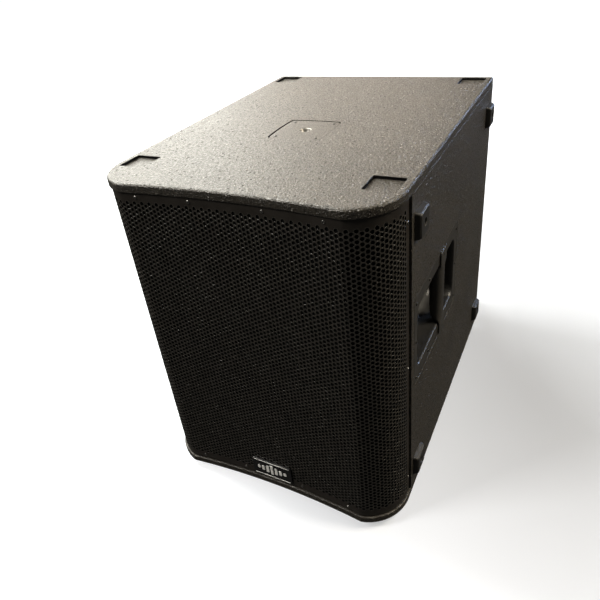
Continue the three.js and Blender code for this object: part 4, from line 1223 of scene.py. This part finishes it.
def add_caster(level, side, x, z):
    name = f"caster_{level}_{side}"
    swivel = name + "_swivel"
    base = Vector((x, DEPTH + GAP, z))
    bolts = [(u * (PLATE_W / 2 - 9), v * (PLATE_H / 2 - 10)) for u in (-1, 1) for v in (-1, 1)]

    plate = Solid("rear", base)
    slab(plate, rounded(PLATE_W, PLATE_H, 7), PLATE_T, 0, 0.8, 0.1,
         [(rounded(8, 10, 4, u, v), None, 0.4) for u, v in bolts])
    plate.turn([(0, 1), (22.4, 2.4), (21.6, 3.4), (21, 4.2), (20.4, 5.2), (18.4, 7.6), (17, 8.4), (14, 8.6),
                (0, 8.6)])
    plate.turn([(0, 4), (5, 4), (5, 13.4), (0, 13.4)], 32)
    nut = circle(8.6, 6, start=0.4)
    plate.loft([(grown(nut, -0.5), 13.4), (nut, 13.8), (nut, 16.4), (grown(nut, -0.9), 17)])
    piece(name + "_top_plate", plate, "zinc_steel", name + "_plate", sharp=30)
    for i, (u, v) in enumerate(bolts):
        add_screw(f"bolt_{name}_{i + 1}", "bolt", (x + u, DEPTH + GAP + PLATE_T + 0.02, z + v), Y, i)

    # Two legs that widen round the axle, and the crown that turns under the plate.
    fork, crown = Solid("right", base), Solid("rear", base)
    outline = [(CROWN, 17), (CROWN, -17), (AXLE_OUT - 6, -TRAIL - 13)]
    outline += [(AXLE_OUT + 12 * math.cos(a), -TRAIL + 12 * math.sin(a))
                for a in (-2.0 + 2.9 * i / 14 for i in range(15))]
    outline += [(CROWN + 26, 4), (CROWN + 12, 14)]
    bore = circle(5, 24, AXLE_OUT, -TRAIL)
    for inner in (LEG_IN, -LEG_IN - LEG_T):
        slab(fork, outline, inner + LEG_T, inner, 0.7, 0.7, [(bore, None, 0.3)])
    crown.turn([(r, CROWN + out) for r, out in (
        (5.3, 0), (21.8, 0), (22.8, 0.6), (23, 1.6), (22.6, 2.8), (20.6, 3.8), (18, 4), (8, 4), (5.3, 3.4))])
    slab(crown, rounded(2 * LEG_IN + 3, 27, 3), CROWN + 3.6, CROWN + 0.4, 0.8, 0.8, [(circle(5.6, 24), None, 0.3)])
    fork.add(crown)
    piece(name + "_yoke", fork, "zinc_steel", name + "_fork", swivel, sharp=30)

    hub = base + Vector((0, AXLE_OUT - GAP, -TRAIL))
    axle = Solid("right", hub)
    outer = LEG_IN + LEG_T + GAP
    axle.turn([(0, -outer - 1), (4, -outer - 1), (4, outer + 1), (0, outer + 1)], 32)
    for way, start, thick, top in ((-1, 0.2, 4.2, 5), (1, 0.5, 3.4, 4)):
        hexagon = circle(7.4, 6, start=start)
        axle.loft([(grown(hexagon, shrink), way * (outer + out)) for shrink, out in
                   ((-0.2, 0), (0, 0.3), (0, thick), (-0.9, top))])
    piece(name + "_axle_bolt", axle, "zinc_steel", name + "_axle", swivel, sharp=30)

    wheel = Solid("right", hub)
    tread = [(28.4, 9.6), (29.4, 11.6), (31, WHEEL_HALF), (35.4, WHEEL_HALF), (37.6, 11.2), (39, 9.2), (39.8, 6.4),
             (WHEEL_R, 3)]
    wall = [(4.4, 14), (10, 14), (10.8, 13.4), (11.4, 10), (12.4, 7.4), (14, 6.6), (24, 6.6), (26, 7.4), (27, 9.4),
            (27.6, 10.8), (28.6, 11.2), (29.2, 10.4)]
    for paint, profile in enumerate((tread, wall)):
        wheel.turn([(r, -w) for r, w in profile] + [(r, w) for r, w in reversed(profile)], 72, paint)
    for i in range(8):
        way = 2 * math.pi * i / 8
        along, across = direction(way), direction(way + math.pi / 2) * 1.3
        rib = [tuple(along * r + across * s) for r, s in ((11, -1.3), (27, -1), (27, 1), (11, 1.3))]
        for out in (-1, 1):
            wheel.loft([(rib, out * 6), (rib, out * 9), (grown(rib, -0.5), out * 9.5)], paint=1)
    piece(name + "_tyred_wheel", wheel, ("caster_tyre", "hub_black"), name + "_wheel", name + "_wheel", sharp=30)


# ---- Woofer, turned about its own axis, and the ports.

def curve(points, steps=6):
    """A smooth line through the points."""
    fine = []
    for i in range(len(points) - 1):
        around = [Vector(points[max(0, min(len(points) - 1, k))]) for k in (i - 1, i, i + 1, i + 2)]
        for j in range(steps):
            t = j / steps
            a, b, c, d = around
            fine.append(tuple(0.5 * (2 * b + (c - a) * t + (2 * a - 5 * b + 4 * c - d) * t * t
                                     + (3 * b - a - 3 * c + d) * t ** 3)))
    return fine + [tuple(points[-1])]


def add_turned(name, profile, paint, node, body="cabinet", centre=(0, 0, WOOFER_Z), sharp=30):
    part = Solid("rear", centre)
    part.turn(profile, 96)
    piece(name, part, paint, node, body, sharp=sharp)


def add_bending_ring(name, profile, paint, node, moving, fixed, sectors=24, steps=4):
    """A ring round the woofer in sectors, each a piece of its own on no body. The radii fixed and moving,
    where it is glued to the basket and to the moving parts, only give two points for each sector that nothing uses."""
    centre = Vector((0, 0, WOOFER_Z))
    for i in range(sectors):
        part = Solid("rear", centre)
        spokes = [part.spoke(profile, 2 * math.pi * (i + k / steps) / sectors) for k in range(steps + 1)]
        part.bands(spokes)
        for end in (spokes[0], spokes[-1]):
            part.cap(end)
        made = piece(f"{name}_{i + 1:02d}", part, paint, node, body=None)
        way = direction(2 * math.pi * (i + 0.5) / sectors)
        way = part.axes[0] * way.x + part.axes[1] * way.y
        start, end = (ORIGIN + (centre + way * radius) * MM for radius in (fixed, moving))
        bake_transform(made)


def add_woofer():
    moving = "woofer_moving_parts"
    add_turned("mounting_gasket", [(209, 65), (210, 64), (228, 64), (229, 65), (229, 69.9), (209, 69.9)],
               "rubber_black", "woofer_gasket")

    # The cone's wall, with shallow stiffening ribs round its front.
    rings = 60
    front = [(184, 74)]
    for i in range(1, rings):
        rib = 0.28 * math.sin(i * math.pi / 3) if 8 < i < 44 else 0
        front.append((184 - 124 * i / rings, 73.8 + 109 * i / rings + rib))
    front += [(60, 183), (53.8, 192)]
    cone = [(188, 72), (188, 74)] + front + [(53.8, 188), (58, 181), (178, 74), (178, 72)]
    add_turned("cone_body", cone, "cone_paper", "woofer_cone", moving, sharp=50)
    dome = curve([(70, 168), (64, 168), (45, 159.3), (23, 154), (0, 152.2)])
    under = curve([(0, 150.2), (24, 152), (47, 157.4), (65, 166)])
    add_turned("dust_dome", [(70, 166)] + dome + under, "cone_paper", "woofer_dust_cap", moving, sharp=50)
    windings = [(53 - 0.16 * (i % 2), 176 + 69 * i / 90) for i in range(91)]
    add_turned("coil_winding", windings + [(51, 245), (51, 176)], "coil_copper", "voice_coil", moving, sharp=70)

    half_turn = [i * math.pi / 16 for i in range(17)]
    roll = [(198.5 - 10.5 * math.cos(a), 70.2 - 10.5 * math.sin(a)) for a in half_turn]
    back = [(198.5 + 9 * math.cos(a), 70.2 - 9 * math.sin(a)) for a in half_turn]
    add_bending_ring("surround_sector", [(178, 71.7), (178, 70.2)] + roll + [(218, 70.2), (218, 71.7)] + back,
                     "rubber_black", "woofer_surround", 189, 207)
    steps = 36
    waves = [(54.4 + 51.6 * i / steps, 199.4 + 1.6 * math.sin(i / steps * 6 * math.pi)) for i in range(steps + 1)]
    add_bending_ring("spider_sector", [(r, y - 0.6) for r, y in waves] + [(r, y + 0.6) for r, y in reversed(waves)],
                     "spider_cloth", "woofer_spider", 56, 104)
    add_basket()

    add_turned("front_plate", [(54, 219.3), (87.2, 219.3), (88, 220.1), (88, 227.2), (87.2, 228), (54, 228)],
               "zinc_steel", "woofer_top_plate")
    add_turned("ring_magnet", [(60, 228.3), (102, 228.3), (103.4, 228.9), (104, 230.3), (104, 256), (103.4, 257.4),
                               (102, 258), (60, 258)], "ferrite", "woofer_magnet")
    add_turned("back_plate_and_pole", [(16, 222), (17, 221), (48.8, 221), (49.8, 222), (49.8, 258.3), (95, 258.3),
                                       (96, 259.3), (96, 266.6), (94.6, 268), (18, 268), (16, 266)],
               "zinc_steel", "woofer_pole_piece")


def add_basket():
    """Two rings with six webs between them, each web with a rib down its back."""
    basket = Solid("rear", (0, 0, WOOFER_Z))
    basket.turn([(206, 73), (207, 72), (229, 72), (230, 73), (230, 78.7), (210, 78.7), (210, 86), (202.6, 97),
                 (198, 97), (206, 83)], 96)
    basket.turn([(56, 215), (100, 215), (106, 205), (102, 205), (102, 202), (109.5, 202), (119, 190), (125, 190),
                 (124.4, 197.6), (108, 219), (56, 219)], 96)
    webs = 6
    for i in range(webs):
        angle = 2 * math.pi * (i + 0.5) / webs
        along, across = direction(angle), direction(angle + math.pi / 2)
        # Each end of a bar is (radius, way out, half its width).
        for ends, thick in ((((204, 88, 34), (119, 197, 20)), 4.5), (((207.5, 90, 5), (122, 199.5, 5)), 6)):
            bar = []
            for radius, out, width in ends:
                start = len(basket.points)
                for s, drop in ((-1, 0), (1, 0), (1, -thick), (-1, -thick)):
                    basket.ring([along * (radius + drop * 0.79) + across * (s * width)], out + drop * 0.61)
                bar.append(list(range(start, start + 4)))
            basket.band(*bar)
            basket.face(bar[0])
            basket.face(bar[1])
    piece("cast_basket", basket, "cast_frame", "woofer_basket")


def add_ports():
    bore, wall, flare, mouth, length = 50, 3, 12, 75.7, 220
    rear = mouth + length
    profile = [(bore + flare * (1 - math.sin(a)), mouth + flare * (1 - math.cos(a)))
               for a in (i * math.pi / 24 for i in range(13))]
    profile += [(bore, rear - 1), (bore + 1, rear), (bore + wall, rear), (bore + wall, mouth + wall),
                (bore + flare, mouth + wall), (bore + flare + 0.2, mouth + 1)]
    for side, x in (("left", -PORT_X), ("right", PORT_X)):
        add_turned(f"flared_port_{side}", profile, "moulded_black", f"port_tube_{side}", centre=(x, 0, PORT_Z))


# ---- Stage, lights and camera.

# Each softbox: place and target in metres, width and height, watts and colour.
SOFTBOXES = {
    "key_left": ((-4.6, 3.2, 3.0), (0, 0, 0.6), (4.4, 3.8), 430, (1.0, 0.985, 0.90)),
    "warm_back": ((-1.9, 4.5, 1.7), (0, 0, 0.6), (2.4, 1.6), 36, (1.0, 0.86, 0.72)),
    "cool_right": ((1.75, 4.1, 1.6), (0.2, 0, 0.6), (0.5, 1.2), 64, (0.50, 0.66, 1.0)),
    "overhead": ((-1.6, -0.15, 4.6), (0, 0, 0.2), (2.4, 1.3), 50, (1.0, 0.96, 0.87)),
    "side_soft": ((2.7, 0.9, 3.2), (0.26, 0, 0.35), (1.8, 1.8), 205, (1.0, 0.90, 0.73)),
    "front_soft": ((-2.6, -2.7, 3.6), (0, 0, 0.35), (1.2, 1.2), 165, (1.0, 0.95, 0.87)),
    "edge_left": ((-2.5, 0.0, 3.9), (0, -0.3, 0.6), (0.7, 2.4), 230, (1.0, 0.97, 0.88)),
}
FLOOR_RADIUS, WALL_RADIUS, WALL_HIGH = 60000, 50000, 90000
# The camera's place in the box frame, and its turns to the left of +Y, down, and about its own view.
CAMERA_PLACE, CAMERA_TURNS = (465.08, -592.63, 961.80), (0.5334, 0.5388, -0.12294)


def look_from(place, azimuth, elevation, roll):
    """The matrix of a camera at a place, turned by angles in radians."""
    forward = Vector((-math.sin(azimuth) * math.cos(elevation), math.cos(azimuth) * math.cos(elevation),
                      -math.sin(elevation)))
    right = Vector((math.cos(azimuth), math.sin(azimuth), 0))
    up = right.cross(forward)
    turned_right = math.cos(roll) * right + math.sin(roll) * up
    turned_up = -math.sin(roll) * right + math.cos(roll) * up
    axes = Matrix((turned_right, turned_up, -forward)).transposed().to_4x4()
    return Matrix.Translation(place) @ axes


def add_camera():
    data = bpy.data.cameras.new("camera")
    data.sensor_width, data.lens = 36.0, 33.486
    data.shift_x, data.shift_y = 0.0098, -0.0541
    data.clip_end = 100
    made = linked("camera", data)
    made.matrix_world = look_from(spot(*CAMERA_PLACE), *CAMERA_TURNS)
    bpy.context.scene.camera = made


def add_softbox(name, place, target, size, power, colour):
    data = bpy.data.lights.new(name, "AREA")
    data.shape, data.size, data.size_y = "RECTANGLE", *size
    data.energy, data.color = power, colour
    turn = (Vector(place) - Vector(target)).to_track_quat("Z", "Y").to_matrix().to_4x4()
    linked(name, data).matrix_world = Matrix.Translation(place) @ turn


def add_scenery(name, solid, base, material):
    """A part of the stage. It is only a backdrop: the softboxes alone light the object."""
    mesh = bpy.data.meshes.new(name)
    mesh.from_pydata([base + p * MM for p in solid.points], [], solid.faces)
    mesh.materials.append(material)
    made = linked(name, mesh)
    made.visible_glossy = made.visible_diffuse = False
    return made


def floor_white():
    p = Paint("floor_white")
    p.link(p.mix(p.noise(300, 3), (0.365, 0.386, 0.429), (0.395, 0.417, 0.462)), "Base Color")
    p.link(p.between(p.noise(200, 3), 0.3, 0.7, 0.85, 0.95), "Roughness")
    # Emission rises with distance from a point to the right of and behind the box: low near it, a painted shadow
    # on that side, and up to white on the far floor, where the lights no longer reach it.
    shade = p.node("VectorMath", {0: p.coordinates, 1: (0.95, 0.45, 0)}, operation="DISTANCE").outputs["Value"]
    p.link(p.between(shade, 0.6, 1.8, 0.08, 1.0), "Emission Strength")
    p.shader.inputs["Emission Color"].default_value = (1, 1, 1, 1)
    return p.material


def add_stage():
    floor, wall, material = Solid(), Solid(), floor_white()
    ring = circle(FLOOR_RADIUS, 96)
    floor.loft([(ring, -40), (ring, 0)])
    add_scenery("floor", floor, Vector((0, 0, CAD_BOX[0][2])), material)
    # A tall wall far round the stage gives every view a light background.
    rings = [wall.ring(circle(radius, 96), height) for radius, height in
             ((WALL_RADIUS, -20), (WALL_RADIUS, WALL_HIGH), (WALL_RADIUS + 500, WALL_HIGH), (WALL_RADIUS + 500, -20))]
    wall.bands(rings + rings[:1])
    add_scenery("backdrop", wall, Vector(), material).visible_shadow = False

    world = bpy.data.worlds.new("studio")
    bpy.context.scene.world = world
    world.use_nodes = True
    background = world.node_tree.nodes["Background"]
    background.inputs["Color"].default_value = (1.0, 0.955, 0.87, 1)
    background.inputs["Strength"].default_value = 0.05
    for name, row in SOFTBOXES.items():
        add_softbox(name, *row)
    bpy.context.scene.view_settings.view_transform = "Standard"


add_camera()
add_stage()
add_panels()
add_grille()
add_foam()
add_badge()
add_grille_screws()
add_pole_plate()
add_handle("right", 1)
add_handle("left", -1)
add_feet()
add_amp_panel()
add_heat_sink()
# The input's contacts are near-black discs in the foam paint: painted shade for the holes.
add_xlr("connector_in", XLR_IN, "xlr_input", "grille_foam")
add_xlr("connector_out", XLR_OUT, "xlr_output", "contact_metal")
add_inlet()
add_controls()
for level, z in CASTER_Z.items():
    for side, x in (("left", -CASTER_X), ("right", CASTER_X)):
        add_caster(level, side, x, z)
add_woofer()
add_ports()

# ---- CAD nodes that keep their own shape take the record's finish.

slots = {entry["node"]: entry["material_slot"] for entry in frame["record"]["subparts"]}
for name, node in frame["nodes"].items():
    node.data.materials.clear()
    node.data.materials.append(PAINT[slots[name]])
